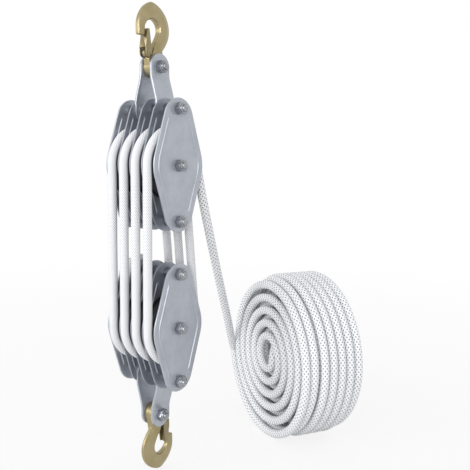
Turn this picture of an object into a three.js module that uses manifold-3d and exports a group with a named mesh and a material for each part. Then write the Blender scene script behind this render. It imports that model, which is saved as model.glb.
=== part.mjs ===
/**
 * Block and tackle: two four-sheave steel blocks with eye hooks, reeved in seven parts with one white rope.
 *
 * Units are millimetres and +Z is up. The origin is the seat in the crown of the upper hook, from which the
 * tackle hangs. The axles lie along Y with the nuts on the -Y side. The lower block is the upper one turned
 * half round about Y, so its hook points down.
 */
import * as THREE from 'three';
import { mergeVertices } from 'three/addons/utils/BufferGeometryUtils.js';
import Module from 'manifold-3d';

// Rope
const ropeDiameter = 10;
const ropeWrapRadius = 39.6;
const ropeWrapSteps = 10;
const ropeSides = 8;
// Angle above the horizontal where the hauling part leaves the front upper sheave
const haulAngle = 15;

// Blocks
const axleSpacing = 183.2;
const boltSpacing = 62;
const plateThickness = 2;
const plateGap = 16.2;
const plateCover = 0.6;
const plateEndRadius = 22.9;
const plateEndInset = 11;
const beadInset = 6.1;
const beadWidth = 3.5;
const beadHeight = 1;
const beadReach = 52;

// Sheaves
const ropeStandProud = 0.8;
const sheaveRimWidth = 13;
const sheaveWebWidth = 9.2;
const sheaveHubRadius = 10.5;
const sheaveSegments = 16;

// Bolts, nuts and spacer tubes
const boltDiameter = 8;
const nutAcrossFlats = 13;
const boltHeadHeight = 5.3;
const nutHeight = 6.5;
const nutCollarDiameter = 11.5;
const nutCollarHeight = 1.6;
const boltEndBeyondNut = 2;
const sleeveDiameter = 12;
const spacerDiameter = 13;
const roundSegments = 10;

// Straps
const strapWidth = 28.6;
const strapThickness = 2.5;
const strapLength = 46.5;
const strapStraightEnd = 10;

// Hook
const eyeRadius = 12;
const eyeThickness = 12.4;
const hookThickness = 9;
const tipThickness = 6.4;
const bowlRadius = 10.6;
const bowlRise = 40.4;
const bowlShift = -5.9;
const hookBackWidth = 17.5;
const hookCrownWidth = 18.7;
const hookTipWidth = 9.6;
const tipDrop = 7.2;
// Body width past the back, by angle round the bowl
const hookWidths = [
  [0, hookBackWidth], [60, hookBackWidth], [90, hookCrownWidth], [112, 16], [136, 13], [162, 11],
  [180, hookTipWidth + 0.7],
];
// Inner and outer point of the back's sections, from the bowl's centre
const hookBack = [[2.9, -15.9, 14, -25.5], [6.8, -9.8, 20.9, -17.4], [10, -3.6, 26, -8.9]];

// Safety latch
const pivotX = -13.5;
const pivotZ = 14;
const pinDiameter = 3.5;
const earRadius = 4.75;
const latchLength = 26;
const latchWidth = 10.4;
const latchSheet = 1.2;
const lugThickness = 3.2;
const springWire = 0.7;
const springRadius = 2.6;

// Coil of spare rope, standing on its rim beside the lower block
const coilRadius = 103;
const coilLayers = 7;
const coilLayerPitch = 12.2;
const coilSpiralPitch = 17.1;
const coilBoreRadius = 14;
const coilBackTurns = 4;
const coilRimTurns = 5.43;
const coilCentreX = 171.7;
const coilCentreY = -41.9;
const coilFacing = 152.5;
const coilStartAngle = 195;

// Clearances
const runningGap = 0.3;
const seatGap = 0.1;

// Values that follow from the sizes above
const ropeRadius = ropeDiameter / 2;
const boltRadius = boltDiameter / 2;
const sleeveRadius = sleeveDiameter / 2;
const spacerRadius = spacerDiameter / 2;
const sheaveFlangeRadius = ropeWrapRadius - ropeStandProud;
const plateWaistRadius = sheaveFlangeRadius + plateCover;
const platePitch = plateGap + plateThickness;
const plateEndCentre = boltSpacing - plateEndInset;
const hookBoltHeight = boltSpacing + strapLength;
const crownHeight = hookBoltHeight + bowlRise + bowlRadius;
const outerFace = 2 * platePitch + plateThickness / 2;
const plateLean = Math.asin((plateWaistRadius - plateEndRadius) / plateEndCentre);
const halfRopeStep = Math.PI / ropeWrapSteps / 2;
const grooveRadius = ropeRadius + ropeWrapRadius * (1 - Math.cos(halfRopeStep)) + runningGap;
const boltEnd = nutHeight + nutCollarHeight + boltEndBeyondNut;
const strapInner = eyeThickness / 2 + runningGap;
const strapOuterAtHead = platePitch - plateThickness / 2 - seatGap;

const wasm = await Module();
wasm.setup();

const radians = THREE.MathUtils.degToRad;
const flat = (x, z) => new THREE.Vector2(x, z);
const spot = (x, y, z) => new THREE.Vector3(x, y, z);
const lerp = THREE.MathUtils.lerp;

/** Middle of gap k between the plates, counted from the back at +Y. */
const gapMiddle = (k) => (2.5 - k) * platePitch;

/** Middle of plate k, counted from the back at +Y. */
const plateMiddle = (k) => (3 - k) * platePitch;

/** Merges shared vertices, drops empty triangles and turns the faces outward. */
function closed(geometry) {
  const bare = geometry.clone();
  bare.deleteAttribute('normal');
  bare.deleteAttribute('uv');
  const merged = mergeVertices(bare, 1e-4);
  const place = merged.getAttribute('position');
  const source = merged.getIndex().array;
  const index = [];
  let volume = 0;
  for (let i = 0; i < source.length; i += 3) {
    const [a, b, c] = [source[i], source[i + 1], source[i + 2]];
    if (a === b || b === c || c === a) continue;
    index.push(a, b, c);
    const [p, q, r] = [a, b, c].map((n) => spot(place.getX(n), place.getY(n), place.getZ(n)));
    volume += p.dot(q.cross(r));
  }
  merged.setIndex(volume < 0 ? index.reverse() : index);
  merged.computeVertexNormals();
  return merged;
}

/** Solid for cutting and joining. */
function toSolid(geometry) {
  const clean = closed(geometry);
  return new wasm.Manifold(new wasm.Mesh({
    numProp: 3,
    vertProperties: new Float32Array(clean.getAttribute('position').array),
    triVerts: new Uint32Array(clean.getIndex().array),
  }));
}

/** Geometry of a cut or joined solid. */
function toGeometry(solid) {
  const mesh = solid.getMesh();
  const geometry = new THREE.BufferGeometry();
  geometry.setAttribute('position', new THREE.BufferAttribute(new Float32Array(mesh.vertProperties), 3));
  geometry.setIndex(new THREE.BufferAttribute(new Uint32Array(mesh.triVerts), 1));
  geometry.computeVertexNormals();
  return geometry;
}

/** Points along an arc in the XZ plane, both ends included. */
function arc(x, z, radius, fromDegrees, toDegrees, steps) {
  return Array.from({ length: steps + 1 }, (_, i) => {
    const angle = radians(lerp(fromDegrees, toDegrees, i / steps));
    return flat(x + radius * Math.cos(angle), z + radius * Math.sin(angle));
  });
}

/** Round hole outline in the XZ plane. */
const hole = (x, z, radius, steps = roundSegments) => arc(x, z, radius, 0, 360 - 360 / steps, steps - 1);

/** Flat piece with an outline in the XZ plane, between two values of Y. */
function slab(outline, yFrom, yTo, holes = []) {
  const shape = new THREE.Shape(outline);
  shape.holes.push(...holes.map((points) => new THREE.Path(points)));
  const geometry = new THREE.ExtrudeGeometry(shape, { depth: yTo - yFrom, bevelEnabled: false });
  return geometry.rotateX(Math.PI / 2).translate(0, yTo, 0);
}

/** Turned piece about the Y axis; the profile's points are radius and Y. */
function turned(profile, segments = roundSegments) {
  const points = profile.map(([radius, y]) => flat(radius, y));
  return new THREE.LatheGeometry([...points, points[0].clone()], segments);
}

/** Tube about the Y axis. */
function tubeOf(outer, inner, yFrom, yTo, segments) {
  return turned([[inner, yFrom], [outer, yFrom], [outer, yTo], [inner, yTo]], segments);
}

/** Round bar about the Y axis. */
const pinOf = (radius, yFrom, yTo, segments) => tubeOf(radius, 0, yFrom, yTo, segments);

/** Skin through rings of equal count, with a flat face on each end. */
function loft(rings) {
  const count = rings[0].length;
  const index = [];
  for (let i = 0; i + 1 < rings.length; i += 1) {
    for (let j = 0; j < count; j += 1) {
      const a = i * count + j;
      const b = i * count + ((j + 1) % count);
      index.push(a, b, b + count, a, b + count, a + count);
    }
  }
  const last = (rings.length - 1) * count;
  for (let j = 1; j + 1 < count; j += 1) {
    index.push(0, j + 1, j, last, last + j, last + j + 1);
  }
  const geometry = new THREE.BufferGeometry();
  geometry.setFromPoints(rings.flat());
  geometry.setIndex(index);
  return geometry;
}

/** Round tube along points, its rings carried on without twist from the given side direction. */
function sweep(points, radius, sides, side, startAlong, endAlong) {
  const steps = points.slice(1).map((point, i) => point.clone().sub(points[i]).normalize());
  const along = points.map((_, i) => {
    if (i === 0) return startAlong ?? steps[0];
    if (i === points.length - 1) return endAlong ?? steps.at(-1);
    return steps[i - 1].clone().add(steps[i]).normalize();
  });
  const normal = side.clone();
  const rings = points.map((point, i) => {
    normal.addScaledVector(along[i], -normal.dot(along[i])).normalize();
    const across = along[i].clone().cross(normal);
    return Array.from({ length: sides }, (_, j) => {
      const angle = (2 * Math.PI * j) / sides;
      return point.clone()
        .addScaledVector(normal, radius * Math.cos(angle))
        .addScaledVector(across, radius * Math.sin(angle));
    });
  });
  return loft(rings);
}

/** Least gap of a round tube to itself, between stretches over three diameters apart along it. */
function leastGap(points, diameter) {
  const reach = [0];
  points.slice(1).forEach((point, i) => reach.push(reach[i] + point.distanceTo(points[i])));
  const nearest = spot(0, 0, 0);
  let least = Infinity;
  for (let i = 0; i < points.length; i += 1) {
    for (let j = 0; j + 1 < points.length; j += 1) {
      if (reach[j] - reach[i] < 3 * diameter && reach[i] - reach[j + 1] < 3 * diameter) continue;
      new THREE.Line3(points[j], points[j + 1]).closestPointToPoint(points[i], true, nearest);
      least = Math.min(least, nearest.distanceTo(points[i]) - diameter);
    }
  }
  return least;
}

const finish = (color, metalness, roughness) => new THREE.MeshStandardMaterial({ color, metalness, roughness });
const zincSheet = finish(0xb3b7bd, 0.85, 0.42);
const zincFastener = finish(0xc3c5c6, 0.85, 0.35);
const hookSteel = finish(0xb9ae8f, 0.8, 0.45);
const sheaveSteel = finish(0x8e9196, 0.85, 0.5);
const springSteel = finish(0x77797c, 0.85, 0.4);
const ropeFibre = finish(0xe9ebee, 0, 0.9);

/** Adds one named piece to a group. */
function addPiece(group, name, geometry, material, y = 0) {
  const mesh = new THREE.Mesh(closed(geometry), material);
  mesh.name = name;
  mesh.position.y = y;
  group.add(mesh);
}

/** Lozenge outline: a wide disc at the axle and a smaller one near each end bolt, with straight edges. */
function plateOutline() {
  const lean = THREE.MathUtils.radToDeg(plateLean);
  return [
    ...arc(0, 0, plateWaistRadius, -lean, lean, 3),
    ...arc(0, plateEndCentre, plateEndRadius, lean, 180 - lean, 8),
    ...arc(0, 0, plateWaistRadius, 180 - lean, 180 + lean, 3),
    ...arc(0, -plateEndCentre, plateEndRadius, 180 + lean, 360 - lean, 8),
  ];
}

/** Ridge of one pressed bead on the -Y face; it follows the plate's edge and sinks in at its ends. */
function beadRidge(side) {
  const radius = plateWaistRadius - beadInset;
  const onStraight = (z) => (radius - Math.abs(z) * Math.sin(plateLean)) / Math.cos(plateLean);
  const face = -plateThickness / 2;
  const ring = (x, z, angle, width, height) => {
    const foot = width / 2 + 0.2;
    const section = [[-foot, 0.2], [-width / 4, -height], [width / 4, -height], [foot, 0.2]];
    return section.map(([across, rise]) => (
      spot(side * (x + across * Math.cos(angle)), face + rise, z + across * Math.sin(angle))));
  };
  const rings = [];
  for (const [z, width, height] of [[-beadReach - 4, 0.8, -0.1], [-beadReach, beadWidth, beadHeight]]) {
    rings.push(ring(onStraight(z), z, -plateLean, width, height));
  }
  const lean = THREE.MathUtils.radToDeg(plateLean);
  for (const { x, y } of arc(0, 0, radius, -lean, lean, 2)) {
    rings.push(ring(x, y, Math.atan2(y, x), beadWidth, beadHeight));
  }
  for (const [z, width, height] of [[beadReach, beadWidth, beadHeight], [beadReach + 4, 0.8, -0.1]]) {
    rings.push(ring(onStraight(z), z, plateLean, width, height));
  }
  return loft(rings);
}

/** Stamped plate with a bolt hole at each end, the axle's hole and two beads pressed toward -Y. */
function plateSheet(axleHoleRadius) {
  const holes = [
    hole(0, 0, axleHoleRadius),
    hole(0, boltSpacing, boltRadius + runningGap),
    hole(0, -boltSpacing, boltRadius + runningGap),
  ];
  let sheet = toSolid(slab(plateOutline(), -plateThickness / 2, plateThickness / 2, holes));
  for (const side of [-1, 1]) {
    const bead = toSolid(beadRidge(side));
    sheet = sheet.add(bead).subtract(bead.translate([0, plateThickness, 0]));
  }
  return toGeometry(sheet);
}

/** Grooved sheave with a hub that runs against the plates and a web that thins between hub and rim. */
function sheave() {
  const hub = plateGap / 2 - runningGap;
  const rim = sheaveRimWidth / 2;
  const web = sheaveWebWidth / 2;
  const bore = (sleeveRadius + runningGap) / Math.cos(Math.PI / sheaveSegments);
  const edge = THREE.MathUtils.radToDeg(Math.acos(ropeStandProud / grooveRadius));
  const groove = Array.from({ length: 5 }, (_, i) => {
    const angle = radians(lerp(-edge, edge, i / 4));
    return [ropeWrapRadius - grooveRadius * Math.cos(angle), grooveRadius * Math.sin(angle)];
  });
  return turned([
    [bore, -hub], [sheaveHubRadius, -hub], [sheaveHubRadius + 2.5, -web], [sheaveFlangeRadius, -rim],
    ...groove,
    [sheaveFlangeRadius, rim], [sheaveHubRadius + 2.5, web], [sheaveHubRadius, hub], [bore, hub],
  ], sheaveSegments);
}

/** Six-sided prism about the Y axis. */
function hexagon(yFrom, yTo) {
  const corner = nutAcrossFlats / 2 / Math.cos(Math.PI / 6);
  return new THREE.CylinderGeometry(corner, corner, yTo - yFrom, 6).translate(0, (yFrom + yTo) / 2, 0);
}

/** Bolt with its head beyond +grip and its end through the nut beyond -grip, and its spacer tubes. */
function bolt(grip, collars = []) {
  const shankEnd = -grip - boltEnd;
  let solid = toSolid(hexagon(grip + seatGap, grip + seatGap + boltHeadHeight));
  solid = solid.add(toSolid(pinOf(boltRadius, shankEnd, grip + boltHeadHeight / 2)));
  for (const [from, to] of collars) {
    solid = solid.add(toSolid(pinOf(spacerRadius, from, to)));
  }
  return toGeometry(solid);
}

/** Lock nut with its round nylon collar, bored to clear the bolt. */
function nut(grip) {
  const seat = -grip - seatGap;
  return toGeometry(toSolid(hexagon(seat - nutHeight, seat))
    .add(toSolid(pinOf(nutCollarDiameter / 2, seat - nutHeight - nutCollarHeight, seat - nutHeight / 2)))
    .subtract(toSolid(pinOf(boltRadius + runningGap, seat - 2 * nutHeight, seat + 1))));
}

/** Hanger strap on the +Y side: parallel ends and a slanted middle, round about both bolts. */
function strap() {
  const inner = strapInner;
  const innerAtHead = strapOuterAtHead - strapThickness;
  const profile = [
    [innerAtHead, boltSpacing - strapWidth], [innerAtHead, boltSpacing + strapStraightEnd],
    [inner, hookBoltHeight - strapStraightEnd], [inner, hookBoltHeight + strapWidth],
    [inner + strapThickness, hookBoltHeight + strapWidth],
    [inner + strapThickness, hookBoltHeight - strapStraightEnd],
    [strapOuterAtHead, boltSpacing + strapStraightEnd], [strapOuterAtHead, boltSpacing - strapWidth],
  ];
  const crank = new THREE.Shape(profile.map(([y, z]) => flat(y, z)));
  const bent = new THREE.ExtrudeGeometry(crank, { depth: strapWidth + 2, bevelEnabled: false });
  bent.applyMatrix4(new THREE.Matrix4().makeBasis(spot(0, 1, 0), spot(0, 0, 1), spot(1, 0, 0)));
  bent.translate(-strapWidth / 2 - 1, 0, 0);
  const outline = [
    ...arc(0, hookBoltHeight, strapWidth / 2, 0, 180, 7),
    ...arc(0, boltSpacing, strapWidth / 2, 180, 360, 7),
  ];
  const holes = [boltSpacing, hookBoltHeight].map((z) => hole(0, z, boltRadius + runningGap));
  return toGeometry(toSolid(bent).intersect(toSolid(slab(outline, 0, outerFace, holes))));
}

/** Value at an angle, between the given angle and value pairs. */
function between(pairs, angle) {
  const i = Math.max(1, pairs.findIndex(([end]) => angle <= end));
  const [[a0, v0], [a1, v1]] = [pairs[i - 1], pairs[i]];
  return lerp(v0, v1, (angle - a0) / (a1 - a0));
}

/** Forged hook above its eye: eye disc, neck with the latch's lug, and a body of chamfered sections. */
function hook() {
  const half = hookThickness / 2;
  const ring = (inner, outer, thickness, tipShare) => {
    const out = outer.clone().sub(inner);
    const width = out.length();
    out.normalize();
    const h = thickness / 2;
    const chamfer = lerp(0.4 * width, 1, tipShare);
    const section = [
      [0, h - 1.7], [1.5, h], [width - chamfer, h], [width, h - lerp(3, 1, tipShare)],
      [width, lerp(3, 1, tipShare) - h], [width - chamfer, -h], [1.5, -h], [0, 1.7 - h],
    ];
    return section.map(([u, y]) => spot(inner.x + out.x * u, y, inner.y + out.y * u));
  };
  const rings = hookBack.map(([x0, z0, x1, z1]) => ring(
    flat(bowlShift + x0, bowlRise + z0), flat(bowlShift + x1, bowlRise + z1), hookThickness, 0));
  for (let angle = 0; angle <= 180; angle += 18) {
    const tipShare = THREE.MathUtils.clamp((angle - 112) / 50, 0, 1);
    const [inner] = arc(bowlShift, bowlRise, bowlRadius, angle, angle, 1);
    const [outer] = arc(bowlShift, bowlRise, bowlRadius + between(hookWidths, angle), angle, angle, 1);
    rings.push(ring(inner, outer, lerp(hookThickness, tipThickness, tipShare), tipShare));
  }
  const tipInner = bowlShift - bowlRadius - 0.4;
  const tipZ = bowlRise - tipDrop;
  rings.push(ring(flat(tipInner, tipZ), flat(tipInner - hookTipWidth, tipZ), tipThickness, 1));
  const nose = [flat(tipInner - 1.2, tipZ - 0.9), flat(tipInner - hookTipWidth + 1.2, tipZ - 0.9)];
  rings.push(ring(...nose, tipThickness - 1.6, 1));
  const lug = earRadius - 0.5;
  const neck = [
    flat(eyeRadius - 0.2, 0), flat(8.6, 15.5), flat(6, bowlRise - 13.4),
    flat(bowlShift + 2.9, bowlRise - 15.9), flat(-7, pivotZ + 5), flat(pivotX, pivotZ + lug),
    flat(pivotX - lug, pivotZ), flat(pivotX, pivotZ - lug), flat(0.2 - eyeRadius, 0),
  ];
  const cheek = [
    flat(pivotX - 8, pivotZ - 1), flat(pivotX + earRadius + 1.3, pivotZ - 1),
    flat(pivotX + 11.6, pivotZ + 11), flat(pivotX + 11.6, pivotZ + 14), flat(pivotX - 8, pivotZ + 14),
  ];
  let solid = toSolid(pinOf(eyeRadius, -eyeThickness / 2, eyeThickness / 2, 18))
    .add(toSolid(slab(neck, -half, half)))
    .add(toSolid(loft(rings)));
  for (const [from, to] of [[-hookThickness, -lugThickness / 2], [lugThickness / 2, hookThickness]]) {
    solid = solid.subtract(toSolid(slab(cheek, from, to)));
    solid = solid.subtract(toSolid(pinOf(earRadius + 0.7, from, to, 16).translate(pivotX, 0, pivotZ)));
  }
  const pinHole = pinDiameter / 2 + runningGap + 0.1;
  return toGeometry(solid
    .subtract(toSolid(pinOf(boltRadius + runningGap, -eyeThickness, eyeThickness)))
    .subtract(toSolid(pinOf(pinHole, -eyeThickness, eyeThickness, 8).translate(pivotX, 0, pivotZ))));
}

/** Left edge of the latch above its pivot, outward face of the web, at a height above the pivot. */
const webFace = (z) => lerp(-5, -1.8, (z - 6) / (latchLength - 6));

/** Folded sheet latch about its pivot: a web on the -X side and two ears that straddle the hook's lug. */
function latch() {
  const outline = [
    ...arc(0, 0, earRadius, 190, 370, 8),
    flat(webFace(latchLength) + 2.6, latchLength), flat(webFace(latchLength), latchLength),
    flat(webFace(6), 6),
  ];
  const inside = [
    flat(-3 * earRadius, -3 * earRadius), flat(3 * earRadius, -3 * earRadius),
    flat(3 * earRadius, latchLength + 5), flat(webFace(latchLength + 5) + latchSheet, latchLength + 5),
    flat(webFace(6) + latchSheet, 6), flat(-3 * earRadius, 6),
  ];
  const pinHole = pinDiameter / 2 + runningGap + 0.1;
  const room = latchWidth / 2 - latchSheet;
  return toGeometry(toSolid(slab(outline, -latchWidth / 2, latchWidth / 2))
    .subtract(toSolid(slab(inside, -room, room)))
    .subtract(toSolid(pinOf(pinHole, -latchWidth, latchWidth, 8)))
    .translate([pivotX, 0, pivotZ]));
}

/** Riveted pin of the latch, a head on each end. */
function latchPin() {
  const end = latchWidth / 2 + 2 * seatGap;
  const radius = pinDiameter / 2;
  return turned([
    [0, -end - 0.7], [radius + 0.8, -end - 0.7], [radius + 0.8, -end], [radius, -end],
    [radius, end], [radius + 0.8, end], [radius + 0.8, end + 0.7], [0, end + 0.7],
  ], 8).translate(pivotX, 0, pivotZ);
}

/** Path of the double torsion spring: a leg, one turn and a leg on each side, joined across the web. */
function springPath() {
  const near = lugThickness / 2 + 0.25 + springWire / 2;
  const far = latchWidth / 2 - latchSheet - runningGap - springWire / 2;
  const half = [spot(-1.6, near, -8), spot(-springRadius, near, -1.5)];
  for (let i = 0; i <= 8; i += 1) {
    const angle = Math.PI - (2 * Math.PI * i) / 8;
    half.push(spot(springRadius * Math.cos(angle), lerp(near, far, i / 8), springRadius * Math.sin(angle)));
  }
  const beside = latchSheet + 0.8;
  half.push(spot(webFace(9) + beside, far, 9), spot(webFace(12) + beside, far - 0.8, 12));
  const other = half.map(({ x, y, z }) => spot(x, -y, z)).reverse();
  return [...half, ...other].map((point) => point.add(spot(pivotX, 0, pivotZ)));
}

/** One block about its axle, with its hook above it. */
function block(prefix) {
  const group = new THREE.Group();
  const sheetGap = plateGap / 2 - seatGap;
  const cheekSheet = plateSheet(boltRadius + runningGap);
  const dividerSheet = plateSheet((sleeveRadius + runningGap) / Math.cos(Math.PI / roundSegments));
  addPiece(group, `${prefix}_cheek_back`, cheekSheet, zincSheet, plateMiddle(1));
  for (const k of [1, 2, 3]) {
    addPiece(group, `${prefix}_divider_${k}`, dividerSheet, zincSheet, plateMiddle(k + 1));
  }
  addPiece(group, `${prefix}_cheek_front`, cheekSheet, zincSheet, plateMiddle(5));

  const grooved = sheave();
  const tailSpacer = tubeOf(spacerRadius, boltRadius + runningGap, -sheetGap, sheetGap);
  tailSpacer.translate(0, 0, -boltSpacing);
  for (const k of [1, 2, 3, 4]) {
    addPiece(group, `${prefix}_sheave_${k}`, grooved, sheaveSteel, gapMiddle(k));
    addPiece(group, `${prefix}_tail_spacer_${k}`, tailSpacer, zincFastener, gapMiddle(k));
  }
  const sleeveEnd = outerFace - plateThickness - seatGap;
  const sleeve = tubeOf(sleeveRadius, boltRadius + runningGap, -sleeveEnd, sleeveEnd);
  addPiece(group, `${prefix}_axle_sleeve`, sleeve, zincFastener);

  const tall = bolt(outerFace);
  const lockNut = nut(outerFace);
  addPiece(group, `${prefix}_axle_bolt`, tall, zincFastener);
  addPiece(group, `${prefix}_axle_nut`, lockNut, zincFastener);
  addPiece(group, `${prefix}_tail_bolt`, tall.clone().translate(0, 0, -boltSpacing), zincFastener);
  addPiece(group, `${prefix}_tail_nut`, lockNut.clone().translate(0, 0, -boltSpacing), zincFastener);

  const besideStrap = strapOuterAtHead - strapThickness - seatGap;
  const collars = [
    [gapMiddle(1) - sheetGap, gapMiddle(1) + sheetGap], [plateThickness / 2 + seatGap, besideStrap],
    [-besideStrap, -plateThickness / 2 - seatGap], [gapMiddle(4) - sheetGap, gapMiddle(4) + sheetGap],
  ];
  const head = bolt(outerFace, collars).translate(0, 0, boltSpacing);
  addPiece(group, `${prefix}_head_bolt`, head, zincFastener);
  addPiece(group, `${prefix}_head_nut`, lockNut.clone().translate(0, 0, boltSpacing), zincFastener);
  const back = strap();
  addPiece(group, `${prefix}_strap_back`, back, zincSheet);
  addPiece(group, `${prefix}_strap_front`, back.clone().rotateZ(Math.PI), zincSheet);

  const strapFace = strapInner + strapThickness;
  const hanger = new THREE.Group();
  hanger.position.z = hookBoltHeight;
  addPiece(hanger, `${prefix}_hook_bolt`, bolt(strapFace), zincFastener);
  addPiece(hanger, `${prefix}_hook_nut`, nut(strapFace), zincFastener);
  addPiece(hanger, `${prefix}_hook`, hook(), hookSteel);
  addPiece(hanger, `${prefix}_latch`, latch(), hookSteel);
  addPiece(hanger, `${prefix}_latch_pin`, latchPin(), hookSteel);
  const wire = springPath();
  addPiece(hanger, `${prefix}_latch_spring`, sweep(wire, springWire / 2, 5, spot(1, 0, 0)), springSteel);
  console.log(`${prefix} latch spring, least gap to itself: ${leastGap(wire, springWire).toFixed(2)} mm`);
  group.add(hanger);
  return group;
}

/** Points of rope laid round a circle in the XZ plane. */
function wrap(z, y, radius, from, to, steps) {
  return arc(0, z, radius, from, to, steps).map((point) => spot(point.x, y, point.y));
}

/** The reeved rope, from the hauling part's tangent point to the dead end on a lower tail spacer. */
function reevedPath() {
  const r = ropeWrapRadius;
  const low = -axleSpacing;
  const points = [];
  for (const k of [4, 3, 2, 1]) {
    const y = gapMiddle(k);
    points.push(...wrap(0, y, r, k === 4 ? haulAngle : 0, 180, ropeWrapSteps));
    if (k > 1) points.push(...wrap(low, y, r, 180, 360, ropeWrapSteps));
  }
  const eye = (spacerRadius + ropeRadius + runningGap) / Math.cos(radians(15));
  const leave = THREE.MathUtils.radToDeg(Math.asin((r - eye) / boltSpacing));
  points.push(...wrap(low, gapMiddle(1), r, 180, 360 + leave, ropeWrapSteps + 1));
  const round = wrap(low + boltSpacing, gapMiddle(1), eye, leave, leave + 225, 8);
  points.push(...round);
  const tail = round.at(-1).clone().sub(round.at(-2)).setLength(ropeDiameter);
  points.push(round.at(-1).clone().add(tail));
  return points;
}

// Coil frame: front points at the viewer's side, right is the coil's own right seen from there.
const coilFront = spot(Math.cos(radians(coilFacing)), Math.sin(radians(coilFacing)), 0);
const coilRight = spot(-Math.sin(radians(coilFacing)), Math.cos(radians(coilFacing)), 0);
const floorHeight = -axleSpacing - hookBoltHeight - bowlRise - bowlRadius - hookCrownWidth;
const coilCentre = spot(coilCentreX, coilCentreY, floorHeight + coilRadius + ropeRadius);

/** Point of the coil at an angle, a radius and a depth behind its front layer. */
function coilPoint(angle, radius, depth) {
  return coilCentre.clone()
    .addScaledVector(coilRight, radius * Math.cos(angle))
    .addScaledVector(spot(0, 0, 1), radius * Math.sin(angle))
    .addScaledVector(coilFront, -depth);
}

/** One unbroken rope: spirals in on the front, through the bore, out behind and forward on the rim. */
function coilPath() {
  const depth = (coilLayers - 1) * coilLayerPitch;
  const outer = coilRadius + 0.24 * coilSpiralPitch;
  const inTurns = (outer - coilBoreRadius) / coilSpiralPitch;
  const stages = [
    [inTurns, (s) => [lerp(outer, coilBoreRadius, s), 0]],
    [1, (s) => [coilBoreRadius, depth * s * s * (3 - 2 * s)]],
    [coilBackTurns, (s) => [lerp(coilBoreRadius, coilRadius, s), depth]],
    [coilRimTurns, (s) => [coilRadius, depth - s * coilRimTurns * coilLayerPitch]],
  ];
  const points = [];
  let angle = radians(coilStartAngle);
  for (const [turns, at] of stages) {
    let done = 0;
    while (done < turns) {
      const [radius, back] = at(done / turns);
      points.push(coilPoint(angle + 2 * Math.PI * done, radius, back));
      done += 1 / (radius > 0.5 * coilRadius ? 24 : 14);
    }
    angle += 2 * Math.PI * turns;
  }
  points.push(coilPoint(angle, coilRadius, depth - coilRimTurns * coilLayerPitch));
  const lead = points[0].clone().sub(points[1]).setLength(ropeDiameter).add(points[0]);
  const tail = points.at(-1).clone().sub(points.at(-2)).setLength(ropeDiameter).add(points.at(-1));
  return [lead, ...points, tail];
}

const tackle = new THREE.Group();
const upper = block('upper');
upper.position.set(-bowlShift, 0, -crownHeight);
const lower = block('lower');
lower.position.set(-bowlShift, 0, -crownHeight - axleSpacing);
lower.rotation.y = Math.PI;
const rope = new THREE.Group();
rope.position.copy(upper.position);
tackle.add(upper, lower, rope);

const reeved = reevedPath();
const haulStart = radians(haulAngle);
const haulAlong = spot(Math.sin(haulStart), 0, -Math.cos(haulStart));
const inward = spot(-1, 0, 0);
const reevedTube = sweep(reeved, ropeRadius, ropeSides, inward, haulAlong.clone().negate());
addPiece(rope, 'reeved_rope', reevedTube, ropeFibre);

const coil = coilPath();
const coilAlong = coil[1].clone().sub(coil[0]).normalize();

// Route of the hauling part between the sheave and the coil, in the object's own frame.
const haulRoute = [
  spot(60, -23.7, -192.6),
  spot(85.2, -14.2, -238.7),
  spot(115.5, -0.8, -285.3),
  spot(147.8, 14.3, -330),
  spot(178.5, 29.1, -370.1),
  spot(205.5, 43.3, -404),
  spot(219.5, 50.3, -421.5),
];
const haulCurve = new THREE.CatmullRomCurve3([
  reeved[0].clone().addScaledVector(haulAlong, runningGap),
  ...haulRoute.map((point) => point.clone().sub(rope.position)),
  coil[0].clone().addScaledVector(coilAlong, -runningGap),
], false, 'centripetal');
const hauling = sweep(haulCurve.getSpacedPoints(18), ropeRadius, ropeSides, inward, haulAlong, coilAlong);
addPiece(rope, 'hauling_part', hauling, ropeFibre);
addPiece(rope, 'rope_coil', sweep(coil, ropeRadius, 6, coilFront), ropeFibre);
console.log(`rope coil, least gap to itself: ${leastGap(coil, ropeDiameter).toFixed(2)} mm`);

// Plain core under the outer turns, with the bore that the rope passes through.
const coreGap = ropeRadius + runningGap + 0.1;
const coreDepth = (coilLayers - 1) * coilLayerPitch - coreGap;
const coreOuter = coilRadius * Math.cos(Math.PI / 24) - coreGap - 0.2;
const core = tubeOf(coreOuter, coilBoreRadius + ropeRadius + 3, coreGap, coreDepth, 24);
const coreFrame = new THREE.Matrix4().makeBasis(coilRight, coilFront.clone().negate(), spot(0, 0, 1));
core.applyMatrix4(coreFrame.setPosition(coilCentre));
addPiece(rope, 'coil_core', core, ropeFibre);

export default tackle;
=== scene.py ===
"""Seven-part block and tackle of plated steel with a white braided rope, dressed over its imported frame.

Sizes are millimetres where nothing else is said. A block's own frame has its axle along Y through the origin
and its hook above it; the lower block is the upper one turned half round. Blender's objects are in metres.
"""

import logging
import math
from dataclasses import dataclass, field
from enum import Enum
from typing import Any, Sequence

import bmesh
import bpy
from bpy.types import Material, Mesh, Node, NodeSocket, NodeTree, Object
from mathutils import Matrix, Vector


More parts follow.
